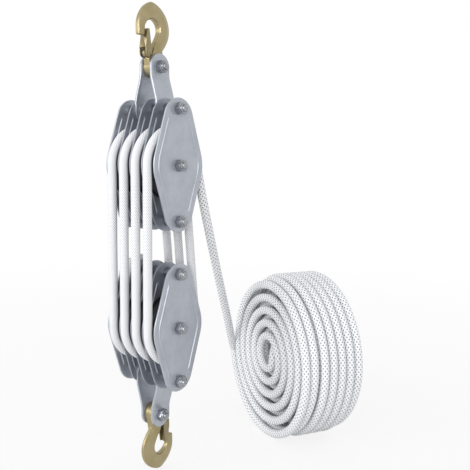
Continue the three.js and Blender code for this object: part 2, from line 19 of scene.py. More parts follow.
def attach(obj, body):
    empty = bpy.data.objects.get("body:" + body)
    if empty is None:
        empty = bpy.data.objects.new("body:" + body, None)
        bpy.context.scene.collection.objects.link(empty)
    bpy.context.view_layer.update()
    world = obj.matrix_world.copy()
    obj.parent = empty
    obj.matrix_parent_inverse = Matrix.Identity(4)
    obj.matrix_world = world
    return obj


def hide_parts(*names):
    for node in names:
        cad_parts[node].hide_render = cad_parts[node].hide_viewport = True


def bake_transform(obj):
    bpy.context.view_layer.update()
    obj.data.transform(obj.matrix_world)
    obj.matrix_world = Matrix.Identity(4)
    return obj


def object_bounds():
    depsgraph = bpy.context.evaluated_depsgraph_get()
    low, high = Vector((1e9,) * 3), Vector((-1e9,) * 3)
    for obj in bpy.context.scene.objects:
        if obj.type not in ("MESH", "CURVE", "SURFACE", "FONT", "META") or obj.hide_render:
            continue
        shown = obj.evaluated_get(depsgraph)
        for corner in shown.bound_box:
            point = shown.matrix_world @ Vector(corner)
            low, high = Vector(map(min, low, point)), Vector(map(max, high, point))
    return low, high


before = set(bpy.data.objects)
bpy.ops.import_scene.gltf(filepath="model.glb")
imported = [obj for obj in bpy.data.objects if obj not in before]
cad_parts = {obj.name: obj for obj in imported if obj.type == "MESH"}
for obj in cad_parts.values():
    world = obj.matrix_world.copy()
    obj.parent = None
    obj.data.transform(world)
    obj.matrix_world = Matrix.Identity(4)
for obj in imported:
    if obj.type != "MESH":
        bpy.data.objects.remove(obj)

LOG = logging.getLogger("tackle")
CAD_BOX = [list(corner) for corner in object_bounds()]
MM = 0.001
TURN = 2 * math.pi
Pair = tuple[float, float]
Pairs = Sequence[Pair]
Triple = tuple[float, float, float]

# Sizes that several pieces share
BLOCK_X = 5.9
UPPER_AXLE_Z = -159.5
AXLE_SPACING = 183.2
PLATE_PITCH = 18.2
PLATE_THICKNESS = 2.0
BOLT_SPACING = 62.0
HOOK_HEIGHT = 108.5
ROPE_DIAMETER = 10.0
WRAP_RADIUS = 39.6
BOLT_RADIUS = 4.0
BOLT_HOLE_RADIUS = 4.3
SPACER_RADIUS = 6.5
PIVOT_X = -13.5
PIVOT_Z = 14.0
LATCH_EAR_RADIUS = 4.75
LATCH_LUG = 3.2


# Node helpers


def linear(code: str) -> tuple[float, float, float, float]:
    """Turns an sRGB hex colour into linear values.

    Args:
        code: six hex digits after a hash sign.

    Returns:
        Red, green, blue and an alpha of one.
    """
    parts = [int(code[i:i + 2], 16) / 255 for i in (1, 3, 5)]
    return (*[c / 12.92 if c <= 0.04045 else ((c + 0.055) / 1.055) ** 2.4 for c in parts], 1.0)


def add_node(tree: NodeTree, kind: str, inputs: dict[Any, Any] | None = None, **settings: Any) -> Node:
    """Adds a node with its settings and links.

    Args:
        tree: the node tree it goes into.
        kind: the node's type name.
        inputs: sockets, numbers or hex colours, by input name or number.
        settings: properties of the node itself.

    Returns:
        The new node.
    """
    node = tree.nodes.new(kind)
    for name, value in settings.items():
        setattr(node, name, value)
    for key, value in (inputs or {}).items():
        if isinstance(value, NodeSocket):
            tree.links.new(value, node.inputs[key])
        else:
            node.inputs[key].default_value = linear(value) if isinstance(value, str) else value
    return node


def calculate(tree: NodeTree, operation: str, *values: Any) -> NodeSocket:
    """Adds a calculation with one to three numbers or sockets and returns its result."""
    return add_node(tree, "ShaderNodeMath", dict(enumerate(values)), operation=operation).outputs[0]


def clouds(
    tree: NodeTree, place: NodeSocket, size: float, detail: float = 2.0, roughness: float = 0.5
) -> NodeSocket:
    """Adds cloudy noise.

    Args:
        tree: the node tree.
        place: its coordinates.
        size: the clouds' size, in the coordinates' unit.
        detail: number of finer layers.
        roughness: weight of the finer layers.

    Returns:
        Its value, from zero to one.
    """
    inputs = {"Vector": place, "Scale": 1 / size, "Detail": detail, "Roughness": roughness}
    return add_node(tree, "ShaderNodeTexNoise", inputs).outputs["Fac"]


def rescaled(
    tree: NodeTree, value: NodeSocket, span: Pair, to: Pair = (0.0, 1.0), **settings: Any
) -> NodeSocket:
    """Maps one span of values onto another and holds it at both ends.

    Args:
        tree: the node tree.
        value: what is mapped.
        span: the span it comes in.
        to: the span it is mapped to.
        settings: properties of the node.

    Returns:
        The mapped value.
    """
    inputs = {"Value": value, "From Min": span[0], "From Max": span[1], "To Min": to[0], "To Max": to[1]}
    return add_node(tree, "ShaderNodeMapRange", inputs, **settings).outputs["Result"]


def blended(tree: NodeTree, share: NodeSocket, first: Any, second: Any) -> NodeSocket:
    """Mixes two colours, the second at a share of one, and returns the result."""
    inputs = {"Factor": share, 6: first, 7: second}
    return add_node(tree, "ShaderNodeMix", inputs, data_type="RGBA").outputs[2]


def relief(
    tree: NodeTree, height: NodeSocket, strength: float, depth: float, invert: bool = False
) -> NodeSocket:
    """Adds a bump of a depth in millimetres and returns its normal."""
    inputs = {"Strength": strength, "Distance": depth * MM, "Height": height}
    return add_node(tree, "ShaderNodeBump", inputs, invert=invert).outputs["Normal"]


def new_material(name: str) -> tuple[Material, NodeTree]:
    """Makes an empty node material.

    Args:
        name: the finish's name.

    Returns:
        The material and its cleared tree.
    """
    material = bpy.data.materials.new(name)
    material.use_nodes = True
    material.node_tree.nodes.clear()
    return material, material.node_tree


# Finishes


@dataclass(frozen=True)
class Finish:
    """One surface of the part, with the record's slot; each kind below lays its own nodes."""

    name: str
    slot: str

    def surface(self, tree: NodeTree, place: NodeSocket) -> dict[str, Any]:
        """Returns the shader's inputs, from the object coordinates."""
        raise NotImplementedError

    def material(self) -> Material:
        """Makes the finish's material at its first use.

        Returns:
            The material.
        """
        if self.name in bpy.data.materials:
            return bpy.data.materials[self.name]
        material, tree = new_material(self.name)
        place = add_node(tree, "ShaderNodeTexCoord").outputs["Object"]
        shader = add_node(tree, "ShaderNodeBsdfPrincipled", self.surface(tree, place))
        add_node(tree, "ShaderNodeOutputMaterial", {"Surface": shader.outputs["BSDF"]})
        return material


@dataclass(frozen=True)
class PlatedSteel(Finish):
    """Steel sheet, bar or wire under a thin metal plating, with cloudy tone and a fine grain."""

    light: str
    dark: str
    metallic: float
    roughness: float
    cloud: float
    grain: Triple
    depth: float
    tones: Pair = (0.12, 0.4)
    sheen: float = 0.05

    def surface(self, tree: NodeTree, place: NodeSocket) -> dict[str, Any]:
        """Lays clouds for tone and gloss and a stretched grain for tone and relief.

        Args:
            tree: the material's tree.
            place: the object coordinates.

        Returns:
            The shader's inputs.
        """
        cloud = clouds(tree, place, self.cloud * MM, detail=3.0, roughness=0.6)
        scale = tuple(1 / (size * MM) for size in self.grain)
        stretched = add_node(tree, "ShaderNodeMapping", {"Vector": place, "Scale": scale}).outputs["Vector"]
        grain = clouds(tree, stretched, size=1.0)
        tone = rescaled(tree, calculate(tree, "MULTIPLY", cloud, grain), self.tones)
        gloss = (self.roughness + self.sheen, self.roughness - self.sheen)
        return {
            "Base Color": blended(tree, tone, self.dark, self.light),
            "Metallic": self.metallic,
            "Roughness": rescaled(tree, cloud, span=(0.3, 0.7), to=gloss),
            "Normal": relief(tree, grain, strength=0.35, depth=self.depth),
        }


@dataclass(frozen=True)
class YellowPassivatedForging(Finish):
    """Steel under a yellow chromate film: a soft olive gold, with a painted highlight in a paler colour on
    its sharp edges.
    """

    film: str
    thick_film: str
    edge_glint: str
    roughness: float = 0.34
    sheen: float = 0.06
    cloud: float = 16.0
    scale: float = 0.9
    scale_depth: float = 0.05
    edges: Pair = (0.52, 0.62)
    edge_glint_share: float = 0.7

    def surface(self, tree: NodeTree, place: NodeSocket) -> dict[str, Any]:
        """Lays clouds of film, a painted highlight on the sharp edges and the skin of forge scale.

        Args:
            tree: the material's tree.
            place: the object coordinates.

        Returns:
            The shader's inputs.
        """
        cloud = clouds(tree, place, self.cloud * MM, detail=4.0, roughness=0.55)
        # Forge scale under the film leaves a skin like fine orange peel.
        skin = clouds(tree, place, self.scale * MM)
        body = blended(tree, rescaled(tree, cloud, span=(0.25, 0.75)), self.thick_film, self.film)
        # The pale colour on convex edges is a painted highlight of the chamfers.
        corner = add_node(tree, "ShaderNodeNewGeometry").outputs["Pointiness"]
        edge = rescaled(tree, corner, self.edges, to=(0.0, self.edge_glint_share))
        gloss = (self.roughness - self.sheen, self.roughness + self.sheen)
        return {
            "Base Color": blended(tree, edge, body, self.edge_glint),
            "Metallic": 0.85,
            "Roughness": rescaled(tree, skin, span=(0.3, 0.7), to=gloss),
            "Normal": relief(tree, skin, strength=0.3, depth=self.scale_depth),
        }


@dataclass(frozen=True)
class BraidedPolyester(Finish):
    """White braided polyester: matt yarn, with painted grey shade in the small hollow wherever four strands
    meet.
    """

    strands: int
    stitch: float
    yarn: str = "#F0F1F3"
    shaded_yarn: str = "#E3E5E8"
    hollow_shade: str = "#83858C"
    hollow_share: float = 0.9
    hollow_edge: Pair = (0.6, 0.9)
    fuzz: float = 1.4
    fuzz_share: float = 0.15
    depth: float = 0.35

    def surface(self, tree: NodeTree, place: NodeSocket) -> dict[str, Any]:
        """Lays the braid from its UV maps.

        U of along_rope runs round the rope and V along it in metres. Where rope_rise isn't zero the height is
        added to V, so that the stitches keep their size while the parts between the blocks lengthen.

        Args:
            tree: the material's tree.
            place: the object coordinates.

        Returns:
            The shader's inputs.
        """
        maps = [add_node(tree, "ShaderNodeUVMap", uv_map=name).outputs["UV"]
                for name in ("along_rope", "rope_rise")]
        around, rise, height = (
            add_node(tree, "ShaderNodeSeparateXYZ", {"Vector": vector}).outputs for vector in (*maps, place))
        reach = calculate(tree, "MULTIPLY_ADD", rise["X"], height["Z"], around["Y"])
        turned = calculate(tree, "MULTIPLY", around["X"], self.strands * math.pi)
        along = calculate(tree, "MULTIPLY", reach, math.pi / (self.stitch * MM))
        waves = [calculate(tree, "ABSOLUTE", calculate(tree, "COSINE", calculate(tree, way, turned, along)))
                 for way in ("ADD", "SUBTRACT")]
        meet = calculate(tree, "MULTIPLY", *waves)
        # The grey at each meeting of strands is painted shade in the braid's hollows.
        hollow_shade = rescaled(tree, meet, self.hollow_edge, interpolation_type="SMOOTHSTEP")
        yarn = clouds(tree, place, self.fuzz * MM, detail=3.0, roughness=0.7)
        cloth = blended(tree, yarn, self.shaded_yarn, self.yarn)
        shade = calculate(tree, "MULTIPLY", hollow_shade, self.hollow_share)
        sunk = calculate(tree, "ADD", calculate(tree, "MAXIMUM", *waves), hollow_shade)
        uneven = calculate(tree, "MULTIPLY_ADD", self.fuzz_share, yarn, sunk)
        return {
            "Base Color": blended(tree, shade, cloth, self.hollow_shade),
            "Roughness": 0.85,
            "Specular IOR Level": 0.3,
            "Sheen Weight": 0.15,
            "Normal": relief(tree, uneven, strength=0.6, depth=self.depth, invert=True),
        }


@dataclass(frozen=True)
class MouldedNylon(Finish):
    """Natural nylon of a lock nut's insert: milky, slightly uneven and half matt."""

    pale: str
    deep: str
    cloud: float = 1.2

    def surface(self, tree: NodeTree, place: NodeSocket) -> dict[str, Any]:
        """Returns the shader's inputs: mottled nylon."""
        mottle = clouds(tree, place, self.cloud * MM)
        return {"Base Color": blended(tree, mottle, self.deep, self.pale), "Roughness": 0.45}


# Rolled sheet under bright zinc: an even blue-grey that mirrors its surroundings softly.
ZINC_SHEET = PlatedSteel(
    "zinc_plated_pressed_sheet", "zinc_sheet", "#B2B6BE", "#A4A8B0",
    metallic=0.6, roughness=0.36, cloud=18.0, grain=(0.5, 0.5, 7.0), depth=0.008)
# The dividers get darker, duller copies of the sheet's colours: painted shade for the room between the
# sheaves.
PAINTED_SHADE_DIVIDER_SHEET = PlatedSteel(
    "divider_sheet_painted_shade", "zinc_sheet", "#979CA6", "#858A94",
    metallic=0.6, roughness=0.4, cloud=18.0, grain=(0.5, 0.5, 7.0), depth=0.008)
# Turned and cold-headed parts are glossier than the sheet; both their colours are set dark as a painted
# reflection of dark surroundings.
ZINC_FASTENER = PlatedSteel(
    "bright_zinc_fastener", "zinc_fastener", "#B0B2B7", "#7C7F85",
    metallic=0.94, roughness=0.24, cloud=12.0, grain=(0.9, 0.9, 0.9), depth=0.002)
# The sheaves' colours are set near black as painted shade for the deep room between the plates.
PAINTED_SHADE_SHEAVE_STEEL = PlatedSteel(
    "sheave_steel_painted_shade", "sheave_steel", "#3C3E42", "#292B2E",
    metallic=0.75, roughness=0.45, cloud=8.0, grain=(0.4, 3.0, 0.4), depth=0.04)
# Drawn wire is smooth and dark grey, with a fine even grain.
SPRING_WIRE = PlatedSteel(
    "drawn_spring_wire", "spring_steel", "#85888C", "#5F6266",
    metallic=0.9, roughness=0.33, cloud=2.0, grain=(0.3, 0.3, 0.3), depth=0.02)
# The forging's film is thin and even, so it stays a light gold.
FORGING = YellowPassivatedForging("yellow_passivated_forging", "hook_steel", "#AA9E7D", "#94875F", "#E2DABF")
# The latch's sheet gets a darker, browner colour than the forging.
LATCH_SHEET = YellowPassivatedForging(
    "yellow_passivated_latch_sheet", "hook_steel", "#8A7E5E", "#73684A", "#C6BC9C")
# The insert shows as a milky ring inside the nut's collar.
NYLON = MouldedNylon("natural_nylon", "zinc_fastener", "#D9DADA", "#B9BBBD")
# The loaded rope's braid is pulled fine; its stitch is drawn a little coarser than real so that it shows.
TAUT_BRAID = BraidedPolyester(
    "braided_polyester_taut", "rope_fibre", strands=12, stitch=3.0,
    yarn="#E8E9EB", shaded_yarn="#DBDDE0", hollow_shade="#7A7C83")
# Slack rope opens up, so its stitches and hollows are larger and their painted shade darker.
SLACK_BRAID = BraidedPolyester(
    "braided_polyester_slack", "rope_fibre", strands=7, stitch=6.0, hollow_shade="#63656C")


# Mesh helpers


def lerp(a: float, b: float, t: float) -> float:
    """Returns the value between a and b at t."""
    return a + (b - a) * t


def smooth(t: float) -> float:
    """Returns an eased step of t, held within zero and one."""
    t = min(1.0, max(0.0, t))
    return t * t * (3 - 2 * t)


def table_value(table: Pairs, x: float) -> float:
    """Interpolates in a table.

    Args:
        table: pairs of position and value, in rising order.
        x: the position looked up.

    Returns:
        The value at x, held at the ends.
    """
    if x <= table[0][0]:
        return table[0][1]
    for (x0, v0), (x1, v1) in zip(table, table[1:]):
        if x <= x1:
            return lerp(v0, v1, (x - x0) / (x1 - x0))
    return table[-1][1]


def arc(x: float, z: float, radius: float, start: float, end: float, steps: int) -> list[Pair]:
    """Lists points along an arc in the XZ plane.

    Args:
        x: centre's X.
        z: centre's Z.
        radius: the arc's radius.
        start: first angle, in degrees.
        end: last angle, in degrees.
        steps: number of steps.

    Returns:
        The points, both ends included.
    """
    angles = [math.radians(lerp(start, end, i / steps)) for i in range(steps + 1)]
    return [(x + radius * math.cos(a), z + radius * math.sin(a)) for a in angles]


def splined(points: Sequence[Vector], steps: int) -> list[Vector]:
    """Fills in a smooth curve through points.

    Args:
        points: the points it goes through.
        steps: pieces between two points.

    Returns:
        The finer points.
    """
    out: list[Vector] = []
    last = len(points) - 1
    for i in range(last):
        p0, p1, p2, p3 = (points[min(last, max(0, i + k))] for k in (-1, 0, 1, 2))
        for j in range(steps):
            t = j / steps
            out.append(0.5 * (2 * p1 + (p2 - p0) * t + (2 * p0 - 5 * p1 + 4 * p2 - p3) * t * t
                              + (3 * p1 - p0 - 3 * p2 + p3) * t ** 3))
    return out + [points[last].copy()]


@dataclass
class Shell:
    """Points and faces of a mesh while it is made."""

    points: list[Vector] = field(default_factory=list)
    faces: list[tuple[int, ...]] = field(default_factory=list)
    slots: list[int] = field(default_factory=list)

    def skin(self, rings: Sequence[Sequence[Vector]], looped: bool = False, slot: int = 0) -> None:
        """Adds a skin through rings of equal count.

        Args:
            rings: the rings, in order.
            looped: joins the last ring to the first, instead of closing both ends with a face.
            slot: the material's number.
        """
        base, count = len(self.points), len(rings[0])
        for ring in rings:
            self.points.extend(ring)
        before = len(self.faces)
        for i in range(len(rings) if looped else len(rings) - 1):
            near, far = base + i * count, base + (i + 1) % len(rings) * count
            for j in range(count):
                k = (j + 1) % count
                self.faces.append((near + j, near + k, far + k, far + j))
        if not looped:
            for first in (base, base + (len(rings) - 1) * count):
                self.faces.append(tuple(range(first, first + count)))
        self.slots += [slot] * (len(self.faces) - before)

    def turn(self, profile: Pairs, segments: int, looped: bool = False, slot: int = 0) -> None:
        """Adds a turned form about the Y axis.

        Args:
            profile: pairs of radius and Y.
            segments: number of segments round the axis.
            looped: the profile closes on itself, as a tube's does.
            slot: the material's number.
        """
        angles = [TURN * j / segments for j in range(segments)]
        rings = [[Vector((r * math.cos(a), y, r * math.sin(a))) for a in angles] for r, y in profile]
        self.skin(rings, looped=looped, slot=slot)

    def slab(self, outline: Pairs, low: float, high: float) -> None:
        """Adds a flat piece with an outline in the XZ plane, between two values of Y."""
        self.skin([[Vector((x, y, z)) for x, z in outline] for y in (low, high)])

    def tube(self, radius: float, low: float, high: float, bore: float) -> None:
        """Adds a tube about the Y axis, chamfered outside.

        Args:
            radius: outer radius.
            low: first end's Y.
            high: last end's Y.
            bore: inner radius.
        """
        edge = 0.3
        self.turn([(bore, low), (radius - edge, low), (radius, low + edge), (radius, high - edge),
                   (radius - edge, high), (bore, high)], 40, looped=True)

    def mesh(self, name: str, rounding: float = 0.0, sharp: float = 35.0) -> Mesh:
        """Makes the mesh.

        Args:
            name: the mesh's name.
            rounding: radius of its rounded edges.
            sharp: edges that turn by more degrees than this are rounded or stay sharp.

        Returns:
            The mesh, in metres.
        """
        work = bmesh.new()
        corners = [work.verts.new(p) for p in self.points]
        for face, slot in zip(self.faces, self.slots):
            work.faces.new([corners[i] for i in face]).material_index = slot
        bmesh.ops.remove_doubles(work, verts=work.verts, dist=1e-4)
        bmesh.ops.recalc_face_normals(work, faces=work.faces)
        limit = math.radians(sharp)
        if rounding:
            bmesh.ops.bevel(
                work, geom=[e for e in work.edges if e.is_manifold and e.calc_face_angle(0.0) > limit],
                offset=rounding, segments=2, profile=0.5, affect="EDGES", clamp_overlap=True)
        bmesh.ops.scale(work, vec=(MM, MM, MM), verts=work.verts)
        mesh = bpy.data.meshes.new(name)
        work.to_mesh(mesh)
        work.free()
        mesh.shade_smooth()
        mesh.set_sharp_from_angle(angle=limit)
        return mesh


def add_object(name: str, data: bpy.types.ID) -> Object:
    """Makes an object and links it into the scene.

    Args:
        name: its name.
        data: its mesh, lamp or camera.

    Returns:
        The object.
    """
    thing = bpy.data.objects.new(name, data)
    bpy.context.scene.collection.objects.link(thing)
    return thing


def cut(thing: Object, cutter: Shell) -> Object:
    """Takes a shell away from an object with a modifier.

    Args:
        thing: the object.
        cutter: the shell.

    Returns:
        The shell's own object.
    """
    tool = add_object("cutter", cutter.mesh("cutter"))
    modifier = thing.modifiers.new("cut", "BOOLEAN")
    modifier.operation = "DIFFERENCE"
    modifier.object = tool
    return tool


def worked(thing: Object, tools: Sequence[Object]) -> Mesh:
    """Applies an object's modifiers, then removes it and its tools.

    Args:
        thing: the object.
        tools: the cutters that its modifiers use.

    Returns:
        The finished mesh.
    """
    bpy.context.view_layer.update()
    mesh = bpy.data.meshes.new_from_object(thing.evaluated_get(bpy.context.evaluated_depsgraph_get()))
    for extra in (thing, *tools):
        bpy.data.objects.remove(extra)
    mesh.materials.clear()
    mesh.shade_smooth()
    return mesh


def show(name: str, mesh: Mesh, finishes: Sequence[Finish], place: Matrix) -> Object:
    """Puts a mesh into the scene.

    Args:
        name: the object's name.
        mesh: its mesh, which several objects may share.
        finishes: its finishes, in slot order.
        place: its place, in metres.

    Returns:
        The object.
    """
    if not mesh.materials:
        for finish in finishes:
            mesh.materials.append(finish.material())
    thing = add_object(name, mesh)
    thing.matrix_world = place
    return thing


def at(x: float = 0.0, y: float = 0.0, z: float = 0.0) -> Matrix:
    """Returns a move by millimetres as a matrix in metres."""
    return Matrix.Translation((x * MM, y * MM, z * MM))


def sheave_level(k: int) -> float:
    """Returns the Y of sheave k, counted from one at the back."""
    return (2.5 - k) * PLATE_PITCH


# Pieces of a block


@dataclass
class PressedPlate:
    """Lozenge plate of pressed sheet with a round-backed bead along each side."""

    waist: float = 39.4
    end: float = 22.9
    end_centre: float = 51.0
    thickness: float = PLATE_THICKNESS
    edge: float = 0.45
    bead_inset: float = 7.3
    bead_width: float = 2.6
    bead_height: float = 1.1
    bead_reach: float = 52.0
    bead_fade: float = 0.8
    bead_fullness: float = 0.8
    bead_foot: float = 1.2
    flat_border: float = 3.0

    def outline(self, inset: float) -> list[Pair]:
        """Lists the outline, moved inward.

        Args:
            inset: distance from the edge.

        Returns:
            Its points: a wide arc at the waist and a smaller one at each end, with straight sides.
        """
        lean = math.degrees(math.asin((self.waist - self.end) / self.end_centre))
        waist, end, side_steps = self.waist - inset, self.end - inset, 32
        arcs = [
            arc(0, 0, waist, -lean, lean, 8),
            arc(0, self.end_centre, end, lean, 180 - lean, 20),
            arc(0, 0, waist, 180 - lean, 180 + lean, 8),
            arc(0, -self.end_centre, end, 180 + lean, 360 - lean, 20),
        ]
        points: list[Pair] = []
        for here, following in zip(arcs, arcs[1:] + arcs[:1]):
            (x0, z0), (x1, z1) = here[-1], following[0]
            shares = [i / side_steps for i in range(1, side_steps)]
            points += here + [(lerp(x0, x1, t), lerp(z0, z1, t)) for t in shares]
        return points

    def rise(self, inset: float, z: float) -> float:
        """Works out the bead's height at one point of the plate.

        Args:
            inset: distance from the plate's edge.
            z: height along the plate.

        Returns:
            The height, zero beside the bead.
        """
        across = min(1.0, abs(inset - self.bead_inset) / (self.bead_width / 2))
        length_share = smooth((self.bead_reach + self.bead_fade - abs(z)) / (2 * self.bead_fade))
        return self.bead_height * (1 - across ** 2) ** self.bead_fullness * length_share

    def mesh(self) -> Mesh:
        """Builds the sheet, its beads toward -Y and their grooves in its back.

        Returns:
            The mesh.
        """
        half = self.thickness / 2
        low = self.bead_inset - self.bead_width / 2
        insets = [low + self.bead_width * i / 10 for i in range(11)]
        inner = [insets[-1] + self.bead_foot, *reversed(insets), self.flat_border, self.edge]
        bend = [(self.edge * (1 - math.sin(a)), half - self.edge * (1 - math.cos(a)))
                for a in (math.radians(30), math.radians(60), math.radians(90))]
        levels = [(inset, -half) for inset in inner] + [(inset, -y) for inset, y in bend]
        levels += [(inset, -y) for inset, y in reversed(levels)]
        shell = Shell()
        shell.skin([[Vector((x, y - self.rise(inset, z), z)) for x, z in self.outline(inset)]
                    for inset, y in levels])
        return shell.mesh("pressed_plate", sharp=50)


@dataclass
class GroovedSheave:
    """Sheave with a round rope groove, thin web and wider hub."""

    flange: float = 38.8
    rim: float = 13.0
    rim_edge: float = 0.25
    rim_land: float = 0.8
    rim_depth: float = 6.0
    web: float = 9.2
    web_draft: float = 0.6
    hub_radius: float = 10.5
    hub_foot: float = 2.5
    hub: float = 7.8
    hub_edge: float = 0.4
    bore: float = 6.3
    groove: float = 5.79

    def mesh(self) -> Mesh:
        """Turns the sheave.

        Returns:
            The mesh.
        """
        edge = math.acos((WRAP_RADIUS - self.flange) / self.groove)
        angles = [lerp(-edge, edge, i / 14) for i in range(15)]
        valley = [(WRAP_RADIUS - self.groove * math.cos(a), self.groove * math.sin(a)) for a in angles]
        side = [
            (self.bore, self.hub),
            (self.hub_radius - self.hub_edge, self.hub),
            (self.hub_radius, self.hub - self.hub_edge),
            (self.hub_radius + self.hub_foot, self.web / 2),
            (self.flange - self.rim_depth, self.web / 2 + self.web_draft),
            (self.flange - self.rim_land, self.rim / 2),
            (self.flange, self.rim / 2 - self.rim_edge),
        ]
        shell = Shell()
        shell.turn([*[(r, -y) for r, y in side], *valley, *reversed(side)], 72, looped=True)
        return shell.mesh("grooved_sheave", sharp=40)


@dataclass
class LockedBolt:
    """Hexagon bolt with its nylon-insert lock nut."""

    grip: float
    radius: float = BOLT_RADIUS
    flats: float = 13.0
    chamfer_share: float = 0.96
    head: float = 5.3
    nut: float = 6.5
    collar_radius: float = 5.75
    collar: float = 1.6
    beyond: float = 2.0
    seat: float = 0.1
    pitch: float = 1.25
    thread_depth: float = 0.55
    thread_length: float = 12.0
    point: float = 0.75

    def hexagon(self, low: float, high: float, ends: tuple[bool, bool]) -> Shell:
        """Builds a hexagon whose corners are turned off at 30 degrees.

        Args:
            low: first end's Y.
            high: last end's Y.
            ends: which end is chamfered, low and high.

        Returns:
            Its shell.
        """
        flat = self.flats / 2
        rim = self.chamfer_share * flat
        angles = [TURN * i / 72 for i in range(72)]
        reach = [flat / math.cos((a % (TURN / 6)) - TURN / 12) for a in angles]
        drop = [(r - rim) * math.tan(math.radians(30)) for r in reach]
        spin = [(math.cos(a), math.sin(a)) for a in angles]
        rings = []
        for y, inward, chamfered in ((low, 1, ends[0]), (high, -1, ends[1])):
            side = [Vector((r * c, y + inward * d * chamfered, r * s))
                    for r, d, (c, s) in zip(reach, drop, spin)]
            face = [[Vector((rim * c, y, rim * s)) for c, s in spin]] if chamfered else []
            rings += [*face, side] if inward > 0 else [side, *face]
        shell = Shell()
        shell.skin(rings)
        return shell

    def bolt_mesh(self, tubes: Pairs = ()) -> Mesh:
        """Builds the bolt, its head toward +Y.

        Args:
            tubes: first and last Y of the spacer tubes that it carries.

        Returns:
            The mesh.
        """
        seat = self.grip + self.seat
        shell = self.hexagon(seat, seat + self.head, (False, True))
        end = -self.grip - self.nut - self.collar - self.beyond
        y = end + self.point
        profile = [(self.radius - 0.9, end), (self.radius - 0.15, y)]
        while y < end + self.thread_length:
            profile.append((self.radius, y + 0.3 * self.pitch))
            profile.append((self.radius - self.thread_depth, y + 0.8 * self.pitch))
            y += self.pitch
        profile += [(self.radius, y + 0.5), (self.radius, seat + 1)]
        shell.turn(profile, 32)
        for low, high in tubes:
            shell.tube(SPACER_RADIUS, low, high, self.radius - 0.05)
        return shell.mesh("bolt", rounding=0.12, sharp=28)

    def nut_mesh(self) -> Mesh:
        """Builds the nut with its round collar and nylon insert, beyond -grip.

        Returns:
            The mesh, the insert in the second slot.
        """
        seat = -self.grip - self.seat
        top = seat - self.nut
        lip, outer = top - self.collar, self.collar_radius
        insert, thread = self.radius + 0.8, self.radius + 0.1
        shell = self.hexagon(top, seat, (True, True))
        shell.turn([(self.radius + 0.3, top + 0.5), (outer, top + 0.5), (outer, top - 1.0),
                    (outer - 0.2, top - 1.4), (outer - 0.6, lip), (insert, lip),
                    (self.radius + 0.7, top - 1.1)], 48, looped=True)
        shell.turn([(thread, top - 0.4), (insert, top - 0.4), (insert, top - 1.15),
                    (thread, top - 1.25)], 40, looped=True, slot=1)
        return shell.mesh("lock_nut", rounding=0.1, sharp=28)


@dataclass
class HangerStrap:
    """Flat strap with round ends, cranked inward from the head bolt to the hook bolt."""

    width: float = 28.6
    tip_width: float = 1.6
    thickness: float = 2.5
    straight: float = 10.0
    inner_low: float = 14.6
    inner_high: float = 6.5
    bend: float = 4.0

    def inner(self, z: float) -> float:
        """Returns the inner face's Y at a height, with the bends rounded off.

        Args:
            z: the height.

        Returns:
            The mean of the sharp form over a bend's length.
        """
        table = [(BOLT_SPACING + self.straight, self.inner_low),
                 (HOOK_HEIGHT - self.straight, self.inner_high)]
        samples = [table_value(table, z + self.bend * k / 4) for k in range(-4, 5)]
        return sum(samples) / len(samples)

    def mesh(self) -> Mesh:
        """Builds the strap on the +Y side.

        Returns:
            The mesh.
        """
        half, long_steps, wide_steps = self.width / 2, 30, 6
        quarter = [math.pi / 2 * i / 14 for i in range(15)]
        stations = [(BOLT_SPACING - half * math.cos(a), half * math.sin(a)) for a in quarter]
        stations += [(lerp(BOLT_SPACING, HOOK_HEIGHT, i / long_steps), half) for i in range(1, long_steps)]
        stations += [(HOOK_HEIGHT + half * math.sin(a), half * math.cos(a)) for a in quarter]
        rings = []
        for z, wide in stations:
            wide = max(wide, self.tip_width / 2)
            across = [lerp(-wide, wide, i / wide_steps) for i in range(wide_steps + 1)]
            y = self.inner(z)
            rings.append([Vector((x, y, z)) for x in across]
                         + [Vector((x, y + self.thickness, z)) for x in reversed(across)])
        shell = Shell()
        shell.skin(rings)
        return shell.mesh("hanger_strap", rounding=0.35, sharp=50)


